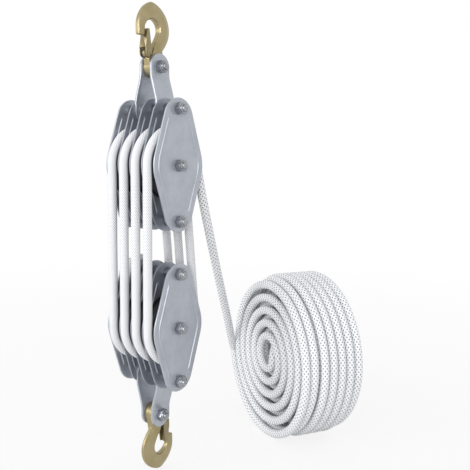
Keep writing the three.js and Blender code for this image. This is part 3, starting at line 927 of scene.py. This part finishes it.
@dataclass
class EyeHook:
    """Forged eye hook with a lug for its latch; the eye's centre is the origin and the bowl is above it."""

    eye: float = 12.0
    eye_thickness: float = 12.4
    eye_edge: float = 0.8
    bore: float = BOLT_HOLE_RADIUS
    thickness: float = 9.0
    bowl: float = 10.6
    bowl_rise: float = 40.4
    bowl_shift: float = -5.9
    tip_thickness: float = 6.4
    tip_width: float = 9.6
    tip_drop: float = 7.2
    tip_round: float = 1.2
    tip_dome: float = 0.9
    tip_thinning: float = 1.6
    tip_from: float = 112.0
    tip_to: float = 162.0
    inner_run: float = 1.5
    inner_chamfer: float = 1.7
    crown_share: float = 0.4
    crown_drop: float = 3.0
    widths: Pairs = ((0, 17.5), (60, 17.5), (90, 18.7), (112, 16), (136, 13), (162, 11), (180, 10.3))
    back: tuple[tuple[float, float, float, float], ...] = (
        (2.9, -15.9, 14, -25.5), (6.8, -9.8, 20.9, -17.4), (10, -3.6, 26, -8.9))
    grain: float = 0.36

    def tip(self) -> Pair:
        """Returns X and Z of the tip's inner corner."""
        return self.bowl_shift - self.bowl - 0.4, self.bowl_rise - self.tip_drop

    def stations(self) -> list[tuple[Vector, Vector, Vector]]:
        """Lists the body's sections from back to tip.

        Returns:
            Inner point, outer point and a vector of thickness and share of the tip's round form, for each.
        """
        shift, rise = self.bowl_shift, self.bowl_rise
        out = [(Vector((shift + a, 0, rise + b)), Vector((shift + c, 0, rise + d)),
                Vector((self.thickness, 0, 0))) for a, b, c, d in self.back]
        for angle in range(0, 181, 18):
            share = min(1.0, max(0.0, (angle - self.tip_from) / (self.tip_to - self.tip_from)))
            (ix, iz), (ox, oz) = (arc(shift, rise, self.bowl + extra, angle, angle, 1)[0]
                                  for extra in (0, table_value(self.widths, angle)))
            thick = lerp(self.thickness, self.tip_thickness, share)
            out.append((Vector((ix, 0, iz)), Vector((ox, 0, oz)), Vector((thick, share, 0))))
        x, z = self.tip()
        size = Vector((self.tip_thickness, 1, 0))
        out.append((Vector((x, 0, z)), Vector((x - self.tip_width, 0, z)), size))
        return out

    def section(self, inner: Vector, outer: Vector, size: Vector) -> list[Vector]:
        """Makes one chamfered section.

        Args:
            inner: its point at the bowl.
            outer: its point at the back.
            size: its thickness and its share of the tip's round form.

        Returns:
            Its eight corners.
        """
        out = outer - inner
        wide = out.length
        out.normalize()
        h, share = size.x / 2, min(1.0, max(0.0, size.y))
        crown, drop = wide - lerp(self.crown_share * wide, 1, share), lerp(self.crown_drop, 1, share)
        run, flat = self.inner_run, h - self.inner_chamfer
        marks = [(0, flat), (run, h), (crown, h), (wide, h - drop),
                 (wide, drop - h), (crown, -h), (run, -h), (0, -flat)]
        return [inner + out * u + Vector((0, y, 0)) for u, y in marks]

    def body(self) -> Shell:
        """Builds eye, neck and hook body.

        Returns:
            One shell of overlapping forms.
        """
        columns = list(zip(*self.stations()))
        rings = [self.section(*station) for station in zip(*(splined(column, 4) for column in columns))]
        x, z = self.tip()
        z -= self.tip_dome
        rings.append(self.section(
            Vector((x - self.tip_round, 0, z)), Vector((x - self.tip_width + self.tip_round, 0, z)),
            Vector((self.tip_thickness - self.tip_thinning, 1, 0))))
        shell = Shell()
        shell.skin(rings)
        half, inner = self.eye_thickness / 2, self.eye - self.eye_edge
        shell.turn([(inner, -half), (self.eye, self.eye_edge - half),
                    (self.eye, half - self.eye_edge), (inner, half)], 48)
        neck = [
            (self.eye - 0.2, 0), (8.6, 15.5), (6, self.bowl_rise - 13.4),
            (self.bowl_shift + 2.9, self.bowl_rise - 15.9), (-7, PIVOT_Z + 5),
            *arc(PIVOT_X, PIVOT_Z, LATCH_EAR_RADIUS - 0.5, 90, 270, 10), (0.2 - self.eye, 0),
        ]
        shell.slab(neck, -self.thickness / 2, self.thickness / 2)
        return shell

    def mesh(self) -> Mesh:
        """Fuses the shells, cuts the latch's room and the bore, and softens the forging.

        Returns:
            The mesh.
        """
        thing = add_object("hook_work", self.body().mesh("eye_hook"))
        thing.modifiers.new("fuse", "REMESH").voxel_size = self.grain * MM
        left, right, foot, top = PIVOT_X - 8, PIVOT_X + 11.6, PIVOT_Z - 1, PIVOT_Z + 14
        cheek = [(left, foot), (PIVOT_X + LATCH_EAR_RADIUS + 1.3, foot),
                 (right, PIVOT_Z + 11), (right, top), (left, top)]
        round_ear = arc(PIVOT_X, PIVOT_Z, LATCH_EAR_RADIUS + 0.7, 0, 345, 23)
        tools = []
        for low, high in ((-self.thickness, -LATCH_LUG / 2), (LATCH_LUG / 2, self.thickness)):
            for outline in (cheek, round_ear):
                room = Shell()
                room.slab(outline, low, high)
                tools.append(cut(thing, room))
        bore = Shell()
        bore.turn([(self.bore, -self.eye_thickness), (self.bore, self.eye_thickness)], 32)
        tools.append(cut(thing, bore))
        thing.modifiers.new("even", "REMESH").voxel_size = self.grain * MM
        soften = thing.modifiers.new("soften", "SMOOTH")
        soften.factor = 0.5
        soften.iterations = 5
        return worked(thing, tools)


@dataclass
class SafetyLatch:
    """Folded sheet latch with its riveted pin and double torsion spring, about the latch's pivot."""

    ear: float = LATCH_EAR_RADIUS
    length: float = 26.0
    width: float = 10.4
    sheet: float = 1.2
    web_foot: float = 6.0
    web_low: float = -5.0
    web_high: float = -1.8
    lip: float = 2.6
    edge: float = 0.3
    pin: float = 1.75
    wire: float = 0.35
    spring: float = 2.6

    def web(self, z: float) -> float:
        """Returns the web's outward face at a height above the pivot."""
        return lerp(self.web_low, self.web_high, (z - self.web_foot) / (self.length - self.web_foot))

    def mesh(self) -> Mesh:
        """Builds the folded sheet: a web and two ears.

        Returns:
            The mesh.
        """
        top, past, foot, half = self.length, self.length + 5, self.web_foot, self.width / 2
        wide = 3 * self.ear
        outer, inner = Shell(), Shell()
        outer.slab([*arc(0, 0, self.ear, 190, 370, 18), (self.web(top) + self.lip, top), (self.web(top), top),
                    (self.web(foot), foot)], -half, half)
        inner.slab([(-wide, -wide), (wide, -wide), (wide, past), (self.web(past) + self.sheet, past),
                    (self.web(foot) + self.sheet, foot), (-wide, foot)], self.sheet - half, half - self.sheet)
        thing = add_object("latch_work", outer.mesh("safety_latch"))
        tool = cut(thing, inner)
        soft = thing.modifiers.new("edges", "BEVEL")
        soft.width = self.edge * MM
        soft.segments = 2
        soft.limit_method = "ANGLE"
        soft.angle_limit = math.radians(35)
        mesh = worked(thing, [tool])
        mesh.set_sharp_from_angle(angle=math.radians(30))
        return mesh

    def pin_mesh(self) -> Mesh:
        """Builds the pin with a domed rivet head on each end.

        Returns:
            The mesh.
        """
        end = self.width / 2 + 0.2
        side = [(self.pin, end), (self.pin + 0.8, end), (self.pin + 0.75, end + 0.3),
                (self.pin + 0.2, end + 0.62), (0.5, end + 0.7)]
        shell = Shell()
        shell.turn([*[(r, -y) for r, y in reversed(side)], *side], 24)
        return shell.mesh("latch_pin", sharp=50)

    def spring_mesh(self) -> Mesh:
        """Builds the spring: a leg, one turn and a leg on each side, joined across the web.

        Returns:
            The mesh.
        """
        near = LATCH_LUG / 2 + 0.25 + self.wire
        far = self.width / 2 - self.sheet - 0.3 - self.wire
        half = [Vector((x, near, z)) for x, z in ((-1.7, -4.2), (-2.2, -3.0), (-self.spring, -1.2))]
        for i in range(25):
            x, z = arc(0, 0, self.spring, 180 - 360 * i / 24, 0, 1)[0]
            half.append(Vector((x, lerp(near, far, i / 24), z)))
        behind = self.sheet + 0.8
        half += [Vector((self.web(z) + behind, y, z)) for y, z in ((far, 9), (far - 0.8, 12))]
        other = [Vector((p.x, -p.y, p.z)) for p in reversed(half)]
        rings, _ = tube_rings(half + other, self.wire, 10, Vector((1, 0, 0)))
        shell = Shell()
        shell.skin(rings)
        return shell.mesh("latch_spring", sharp=60)


# Rope


def path_length(path: Sequence[Vector]) -> float:
    """Returns the length along a path."""
    return sum((b - a).length for a, b in zip(path, path[1:]))


def tube_rings(
    path: Sequence[Vector], radius: float, sides: int, start: Vector
) -> tuple[list[list[Vector]], list[float]]:
    """Carries a ring along a path without twist.

    Args:
        path: the ring centres.
        radius: the ring's radius.
        sides: its number of points.
        start: a direction off the path that the first point is set toward.

    Returns:
        The rings and the length reached at each.
    """
    steps = [(b - a).normalized() for a, b in zip(path, path[1:])]
    spin = [(math.cos(TURN * j / sides), math.sin(TURN * j / sides)) for j in range(sides)]
    normal, rings, reach = start.copy(), [], [0.0]
    for i, point in enumerate(path):
        along = (steps[max(0, i - 1)] + steps[min(i, len(steps) - 1)]).normalized()
        normal = (normal - along * normal.dot(along)).normalized()
        across = along.cross(normal)
        rings.append([point + radius * (normal * c + across * s) for c, s in spin])
        if i:
            reach.append(reach[-1] + (point - path[i - 1]).length)
    return rings, reach


def even(path: Sequence[Vector], step: float) -> list[Vector]:
    """Lays points on a path at even steps.

    Args:
        path: the path's points.
        step: the distance wanted.

    Returns:
        The new points, both ends kept.
    """
    lengths = [(b - a).length for a, b in zip(path, path[1:])]
    count = max(2, round(sum(lengths) / step))
    gap, out, i, done = sum(lengths) / count, [path[0].copy()], 0, 0.0
    for k in range(1, count):
        want = k * gap
        while done + lengths[i] < want:
            done += lengths[i]
            i += 1
        out.append(path[i].lerp(path[i + 1], (want - done) / lengths[i]))
    return out + [path[-1].copy()]


def rope_mesh(
    name: str, path: Sequence[Vector], radius: float, sides: int,
    from_length: float = 0.0, lengthens: bool = False,
) -> Mesh:
    """Builds a rope's skin with its braid coordinates.

    Args:
        name: the mesh's name.
        path: ring centres.
        radius: the rope's radius.
        sides: points round it.
        from_length: rope length before this stretch, so that the braid runs on.
        lengthens: its upright parts stretch with a joint, so their braid is laid by height.

    Returns:
        The mesh, in metres, with the UV maps along_rope and rope_rise.
    """
    rings, reach = tube_rings(path, radius, sides, Vector((-1, 0, 0)))
    mesh = bpy.data.meshes.new(name)
    points = [p * MM for ring in rings for p in ring]
    faces, turns, rises = [], [], []
    for i in range(len(rings) - 1):
        near, far = (from_length + reach[i]) * MM, (from_length + reach[i + 1]) * MM
        slope = (path[i + 1] - path[i]).normalized().z
        rise = float(round(slope)) if lengthens and abs(slope) > 0.99 else 0.0
        for j in range(sides):
            k = (j + 1) % sides
            u0, u1 = j / sides, (j + 1) / sides
            face = (i * sides + j, i * sides + k, (i + 1) * sides + k, (i + 1) * sides + j)
            faces.append(face)
            for corner, u, v in zip(face, (u0, u1, u1, u0), (near, near, far, far)):
                turns += [u, v - rise * points[corner].z]
                rises += [rise, 0.0]
    last = (len(rings) - 1) * sides
    faces += [tuple(reversed(range(sides))), tuple(last + j for j in range(sides))]
    mesh.from_pydata(points, [], faces)
    for layer, values in (("along_rope", turns), ("rope_rise", rises)):
        mesh.uv_layers.new(name=layer).data.foreach_set("uv", values + [0.0, 0.0] * (2 * sides))
    mesh.shade_smooth()
    mesh.set_sharp_from_angle(angle=math.radians(60))
    return mesh


@dataclass
class Reeving:
    """The loaded rope: seven parts between the blocks and the dead end on the lower block's tail spacer."""

    haul_angle: float = 15.0
    gap: float = 0.3
    step: float = 3.2
    sides: int = 16
    tail_wrap: float = 225.0

    def turn(
        self, z: float, k: int, start: float, end: float, radius: float = WRAP_RADIUS, steps: int = 40
    ) -> list[Vector]:
        """Lists rope points round a sheave.

        Args:
            z: height of its axis.
            k: the sheave's number, counted from the back.
            start: first angle, in degrees.
            end: last angle.
            radius: distance of the rope's middle from the axis.
            steps: number of steps.

        Returns:
            The points.
        """
        return [Vector((x, sheave_level(k), zz)) for x, zz in arc(0, z, radius, start, end, steps)]

    def running(self) -> list[Vector]:
        """Lists the running rope's points.

        Returns:
            The points, from the hauling part to the last lower sheave.
        """
        points: list[Vector] = []
        for k in (4, 3, 2, 1):
            points += self.turn(0, k, self.haul_angle if k == 4 else 0, 180)
            if k > 1:
                points += self.turn(-AXLE_SPACING, k, 180, 360)
        points.append(self.turn(-AXLE_SPACING, 1, 180, 360)[0])
        return even(points, self.step)

    def dead_end(self) -> list[Vector]:
        """Lists the points round the last lower sheave and the tail spacer.

        Returns:
            The points, to the rope's end.
        """
        eye = (SPACER_RADIUS + ROPE_DIAMETER / 2 + self.gap) / math.cos(math.radians(15))
        leave = math.degrees(math.asin((WRAP_RADIUS - eye) / BOLT_SPACING))
        points = self.turn(-AXLE_SPACING, 1, 180, 360 + leave)
        points += self.turn(BOLT_SPACING - AXLE_SPACING, 1, leave, leave + self.tail_wrap, eye, 24)
        tail = (points[-1] - points[-2]).normalized()
        points.append(points[-1] + tail * ROPE_DIAMETER)
        return even(points, self.step)

    def build(self, place: Matrix) -> None:
        """Builds and dresses both stretches.

        Args:
            place: the upper block's place.
        """
        running = self.running()
        length = path_length(running)
        mesh = rope_mesh("reeved_rope", running, ROPE_DIAMETER / 2, self.sides, lengthens=True)
        rope = show("reeved_rope_look", mesh, [TAUT_BRAID], place)
        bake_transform(rope)
        dead = rope_mesh("dead_end", self.dead_end(), ROPE_DIAMETER / 2, self.sides, length)
        tail = show("reeved_rope_dead_end", dead, [TAUT_BRAID], place)
        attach(tail, "lower_block")
        for thing in (rope, tail):
            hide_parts("reeved_rope")
        LOG.info("reeved rope: %.2f m", length * MM)


@dataclass
class SpareRope:
    """The hauling part and the coil that it runs into, one unbroken rope that ends cut and sealed."""

    radius: float = 103.0
    layers: int = 7
    layer_pitch: float = 12.2
    spiral_pitch: float = 17.1
    bore: float = 14.0
    back_turns: float = 4.0
    far_half: float = 95.0
    centre: Triple = (171.7, -41.9, -253.4)
    facing: float = 152.5
    start_angle: float = 195.0
    swell: float = 0.5
    sides: int = 12
    step: float = 4.0
    route: tuple[Triple, ...] = (
        (60, -23.7, -192.6), (85.2, -14.2, -238.7), (115.5, -0.8, -285.3), (147.8, 14.3, -330),
        (178.5, 29.1, -370.1), (205.5, 43.3, -404), (219.5, 50.3, -421.5))

    def coil_point(self, angle: float, radius: float, depth: float) -> Vector:
        """Finds a point of the coil.

        Args:
            angle: angle about the coil's axis, in radians.
            radius: distance from it.
            depth: distance behind the front layer.

        Returns:
            The point.
        """
        turn = math.radians(self.facing)
        front = Vector((math.cos(turn), math.sin(turn), 0))
        right = Vector((-math.sin(turn), math.cos(turn), 0))
        return (Vector(self.centre) + right * radius * math.cos(angle)
                + Vector((0, 0, radius * math.sin(angle))) - front * depth)

    def stages(self) -> list[tuple[float, float, float, float, float]]:
        """Lists the coil's stages: the outer winding first, then five layers inside it.

        Returns:
            Turns, radius and depth at the start and radius and depth at the end, for each.
        """
        back, outer = (self.layers - 1) * self.layer_pitch, self.radius + 0.24 * self.spiral_pitch
        wide, narrow = self.radius - 11.0, self.bore + 13.0
        # The last rim turn settles against the front layer, whose gaps show the layer nested behind them.
        snug, snug_depth, nested = self.radius - 3.0, 0.92 * self.layer_pitch, self.radius - 21.0
        front_turns = (outer - self.bore) / self.spiral_pitch
        to_far_half = ((self.far_half - self.start_angle) / 360 - front_turns - self.back_turns) % 1
        stages = [
            (front_turns, outer, 0.0, self.bore, 0.0),
            (1.0, self.bore, 0.0, self.bore, back),
            (self.back_turns, self.bore, back, self.radius, back),
            (to_far_half, self.radius, back, self.radius, back),
        ]
        # Each rim turn steps forward in its far half, so that the near halves lie side by side.
        for layer in range(self.layers - 1, 1, -1):
            depth = layer * self.layer_pitch
            radius, ahead = (self.radius, depth - self.layer_pitch) if layer > 2 else (snug, snug_depth)
            stages.append((0.5, self.radius, depth, radius, ahead))
            stages.append((0.5, radius, ahead, radius, ahead))
        stages.append((0.25, snug, snug_depth, nested, self.layer_pitch))
        radii = [nested, narrow, wide, narrow, wide, narrow]
        for layer, (here, there) in enumerate(zip(radii, radii[1:]), start=1):
            depth = layer * self.layer_pitch
            stages.append((abs(here - there) / self.spiral_pitch, here, depth, there, depth))
            if layer < self.layers - 2:
                stages.append((0.5, there, depth, there, depth + self.layer_pitch))
        return stages

    def coil(self) -> list[Vector]:
        """Lists the coil's points.

        Returns:
            The points, from the outer turn on the front to the hidden cut end.
        """
        stages = self.stages()
        points, angle = [], math.radians(self.start_angle)
        for turns, r0, d0, r1, d1 in stages:
            count = round(turns * 72)
            for i in range(count):
                share = i / count
                depth = lerp(d0, d1, smooth(share))
                points.append(self.coil_point(angle + TURN * turns * share, lerp(r0, r1, share), depth))
            angle += TURN * turns
        return points + [self.coil_point(angle, stages[-1][3], stages[-1][4])]

    def path(self, start: Vector, place: Vector) -> list[Vector]:
        """Lists the whole rope's points from the sheave to its cut end.

        Args:
            start: where it leaves the sheave, in the block's frame.
            place: the block's place in the row frame.

        Returns:
            The points in the block's frame.
        """
        coil = self.coil()
        lead = coil[0] + (coil[0] - coil[1]).normalized() * ROPE_DIAMETER
        free = splined([start, *(Vector(p) - place for p in self.route), lead], 12)
        tail = coil[-1] + (coil[-1] - coil[-2]).normalized() * ROPE_DIAMETER
        return even([*free, *coil, tail], self.step)

    def build(self, place: Matrix, start: Vector) -> None:
        """Args:
            place: the upper block's place.
            start: where the rope leaves the sheave, in the block's frame.
        """
        path = self.path(start, place.translation / MM)
        mesh = rope_mesh("spare_rope", path, ROPE_DIAMETER / 2 + self.swell, self.sides)
        rope = show("spare_rope_look", mesh, [SLACK_BRAID], place)
        world = [place @ (p * MM) for p in path]
        length = path_length(world)
        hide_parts("hauling_part", "rope_coil", "coil_core")
        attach(rope, "upper_block")
        tuple(world[0])
        [tuple(p) for p in world]
        LOG.info("spare rope: %.2f m", length)


# Blocks


class End(Enum):
    """The two blocks, by the names that their nodes start with."""

    UPPER = "upper"
    LOWER = "lower"


def make_stock() -> dict[str, Mesh]:
    """Builds the meshes that both blocks share.

    Returns:
        The meshes by name.
    """
    strap, latch = HangerStrap(), SafetyLatch()
    cheek, play, sleeve_radius = 2 * PLATE_PITCH, 0.1, 6.0
    # A tube starts half a sheet and its play away from the middle of a plate.
    start = PLATE_THICKNESS / 2 + play
    long = LockedBolt(grip=cheek + PLATE_THICKNESS / 2)
    short = LockedBolt(grip=strap.inner_high + strap.thickness)
    spacer, sleeve = Shell(), Shell()
    spacer.tube(SPACER_RADIUS, start - PLATE_PITCH / 2, PLATE_PITCH / 2 - start, BOLT_HOLE_RADIUS)
    sleeve.tube(sleeve_radius, start - cheek, cheek - start, BOLT_HOLE_RADIUS)
    # On the head bolt the tubes fill the room between the plates and the straps.
    collars = [(PLATE_PITCH + start, cheek - start), (start, strap.inner_low - play)]
    collars += [(-high, -low) for low, high in reversed(collars)]
    return {
        "cheek": PressedPlate().mesh(),
        "divider": PressedPlate().mesh(),
        "sheave": GroovedSheave().mesh(),
        "spacer": spacer.mesh("tail_spacer"),
        "sleeve": sleeve.mesh("axle_sleeve"),
        "strap": strap.mesh(),
        "bolt": long.bolt_mesh(),
        "collared_bolt": long.bolt_mesh(collars),
        "nut": long.nut_mesh(),
        "short_bolt": short.bolt_mesh(),
        "short_nut": short.nut_mesh(),
        "hook": EyeHook().mesh(),
        "latch": latch.mesh(),
        "pin": latch.pin_mesh(),
        "spring": latch.spring_mesh(),
    }


@dataclass
class Block:
    """One block with its hook and latch, dressed from the shared meshes."""

    end: End
    place: Matrix
    stock: dict[str, Mesh]

    def piece(
        self, name: str, mesh: str, finishes: Sequence[Finish], place: Matrix, body: str = "block"
    ) -> None:
        """Puts a mesh in place of one CAD node of this block.

        Args:
            name: the node's name without the block's; the piece has the full name with _look added.
            mesh: its mesh's name in the stock.
            finishes: its finishes, in slot order.
            place: its place in the block's frame.
            body: the name of the body it moves with, without the block's.
        """
        prefix, shape = self.end.value, self.stock[mesh]
        node = f"{prefix}_{name}"
        thing = show(f"{node}_look", shape, finishes, self.place @ place)
        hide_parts(node)
        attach(thing, f"{prefix}_{body}")
        LOG.info("%s: %d faces", node, len(shape.polygons))

    def plates(self) -> None:
        """Dresses the two cheeks and three dividers."""
        for k, name in enumerate(("cheek_back", "divider_1", "divider_2", "divider_3", "cheek_front")):
            kind = name.split("_")[0]
            # The dividers take the sheet's darker copy, which paints the shade between the sheaves.
            finish = ZINC_SHEET if kind == "cheek" else PAINTED_SHADE_DIVIDER_SHEET
            self.piece(name, kind, [finish], at(y=(2 - k) * PLATE_PITCH))

    def sheaves(self) -> None:
        """Dresses the sheaves, the sleeve that they turn on and the tail spacers."""
        for k in (1, 2, 3, 4):
            level = sheave_level(k)
            self.piece(f"sheave_{k}", "sheave", [PAINTED_SHADE_SHEAVE_STEEL], at(y=level), f"sheave_{k}")
            self.piece(f"tail_spacer_{k}", "spacer", [ZINC_FASTENER], at(y=level, z=-BOLT_SPACING))
        self.piece("axle_sleeve", "sleeve", [ZINC_FASTENER], at())

    def fasteners(self) -> None:
        """Dresses the bolts and lock nuts."""
        for name, bolt, nut, z in (
            ("axle", "bolt", "nut", 0.0),
            ("tail", "bolt", "nut", -BOLT_SPACING),
            ("head", "collared_bolt", "nut", BOLT_SPACING),
            ("hook", "short_bolt", "short_nut", HOOK_HEIGHT),
        ):
            self.piece(f"{name}_bolt", bolt, [ZINC_FASTENER], at(z=z))
            self.piece(f"{name}_nut", nut, [ZINC_FASTENER, NYLON], at(z=z))

    def hanger(self) -> None:
        """Dresses the straps, the hook and its latch."""
        pivot = at(x=PIVOT_X, z=HOOK_HEIGHT + PIVOT_Z)
        self.piece("strap_back", "strap", [ZINC_SHEET], at())
        self.piece("strap_front", "strap", [ZINC_SHEET], Matrix.Rotation(math.pi, 4, "Z"))
        self.piece("hook", "hook", [FORGING], at(z=HOOK_HEIGHT), "hook")
        self.piece("latch", "latch", [LATCH_SHEET], pivot, "latch")
        self.piece("latch_pin", "pin", [LATCH_SHEET], pivot, "hook")
        self.piece("latch_spring", "spring", [SPRING_WIRE], pivot, "latch")

    def build(self) -> None:
        """Dresses the whole block."""
        self.plates()
        self.sheaves()
        self.fasteners()
        self.hanger()


# Studio


@dataclass
class Studio:
    """Pale floor, soft lamps and the camera, in metres."""

    floor_z: float
    floor_half: float = 6.0
    floor_colour: str = "#DCDCDC"
    clear_from: Pair = (0.4, 1.6)
    clear_near: float = 0.85
    surrounding: float = 0.86
    aim: Triple = (0.05, 0, -0.26)
    lens: float = 52.79
    position: Triple = (-0.5619, -0.5515, -0.1464)
    right: Triple = (0.6097, -0.7926, 0.0107)
    up: Triple = (0.0857, 0.0794, 0.9931)
    back: Triple = (-0.788, -0.6046, 0.1164)

    def camera(self) -> None:
        """Sets the camera at the measured viewing angle."""
        data = bpy.data.cameras.new("camera")
        data.lens = self.lens
        data.sensor_width = 36
        data.clip_start = 0.01
        thing = add_object("camera", data)
        turned = Matrix((self.right, self.up, self.back)).transposed().to_quaternion().to_matrix().to_4x4()
        thing.matrix_world = Matrix.Translation(self.position) @ turned
        bpy.context.scene.camera = thing

    def seen(self, tree: NodeTree) -> NodeSocket:
        """Adds a test for camera, glossy and transmission rays.

        Args:
            tree: the node tree.

        Returns:
            A socket that is one for such rays.
        """
        path = add_node(tree, "ShaderNodeLightPath").outputs
        two = calculate(tree, "MAXIMUM", path["Is Camera Ray"], path["Is Glossy Ray"])
        return calculate(tree, "MAXIMUM", two, path["Is Transmission Ray"])

    def floor(self) -> None:
        """Lays a pale floor that keeps a soft shadow, clear enough to show a block lowered past it."""
        material, tree = new_material("studio_floor")
        place = add_node(tree, "ShaderNodeTexCoord").outputs["Object"]
        away = add_node(tree, "ShaderNodeVectorMath", {0: place}, operation="LENGTH").outputs["Value"]
        level = rescaled(tree, away, self.clear_from, to=(self.clear_near, 1.0))
        mix = add_node(tree, "ShaderNodeMixShader", {
            0: calculate(tree, "MULTIPLY", self.seen(tree), level),
            1: add_node(tree, "ShaderNodeBsdfDiffuse", {"Color": self.floor_colour}).outputs[0],
            2: add_node(tree, "ShaderNodeBsdfTransparent", {"Color": "#FFFFFF"}).outputs[0],
        })
        add_node(tree, "ShaderNodeOutputMaterial", {"Surface": mix.outputs[0]})
        half = self.floor_half
        corners = [(x * half, y * half, 0) for x, y in ((-1, -1), (1, -1), (1, 1), (-1, 1))]
        mesh = bpy.data.meshes.new("floor")
        mesh.from_pydata(corners, [], [(0, 1, 2, 3)])
        mesh.materials.append(material)
        thing = add_object("floor", mesh)
        thing.location.z = self.floor_z

    def world(self) -> None:
        """Sets a white surrounding that lights the object at a plain level."""
        world = bpy.data.worlds.new("studio")
        bpy.context.scene.world = world
        world.use_nodes = True
        tree = world.node_tree
        tree.nodes.clear()
        level = rescaled(tree, self.seen(tree), span=(0.0, 1.0), to=(self.surrounding, 1.0))
        light = add_node(tree, "ShaderNodeBackground", {"Color": "#FFFFFF", "Strength": level})
        add_node(tree, "ShaderNodeOutputWorld", {"Surface": light.outputs[0]})

    def lamp(self, name: str, place: Triple, size: float, watts: float) -> None:
        """Hangs a soft square lamp that faces the object's middle.

        Args:
            name: the lamp's name.
            place: where it hangs.
            size: its side.
            watts: its power.
        """
        data = bpy.data.lights.new(name, "AREA")
        data.size = size
        data.energy = watts
        thing = add_object(name, data)
        thing.location = place
        thing.rotation_euler = (Vector(self.aim) - Vector(place)).to_track_quat("-Z", "Y").to_euler()

    def build(self) -> None:
        """Sets up everything that isn't the object."""
        self.camera()
        self.floor()
        self.world()
        self.lamp("key", (-2.1, -0.6, 1.0), size=1.1, watts=11.0)
        self.lamp("side", (-2.0, 0.95, 0.35), size=1.0, watts=18.0)
        self.lamp("front", (-1.75, -1.4, 0.0), size=0.7, watts=12.0)
        bpy.context.scene.view_settings.view_transform = "Standard"


def main() -> None:
    """Builds the studio, the ropes and both blocks."""
    logging.basicConfig(level=logging.INFO, format="%(name)s: %(message)s")
    upper = at(BLOCK_X, 0, UPPER_AXLE_Z)
    lower = at(BLOCK_X, 0, UPPER_AXLE_Z - AXLE_SPACING) @ Matrix.Rotation(math.pi, 4, "Y")
    floor_gap = 0.0005
    Studio(floor_z=CAD_BOX[0][2] - floor_gap).build()
    reeving = Reeving()
    SpareRope().build(upper, reeving.running()[0])
    reeving.build(upper)
    stock = make_stock()
    for end, place in ((End.UPPER, upper), (End.LOWER, lower)):
        Block(end, place, stock).build()


if __name__ == "__main__":
    main()
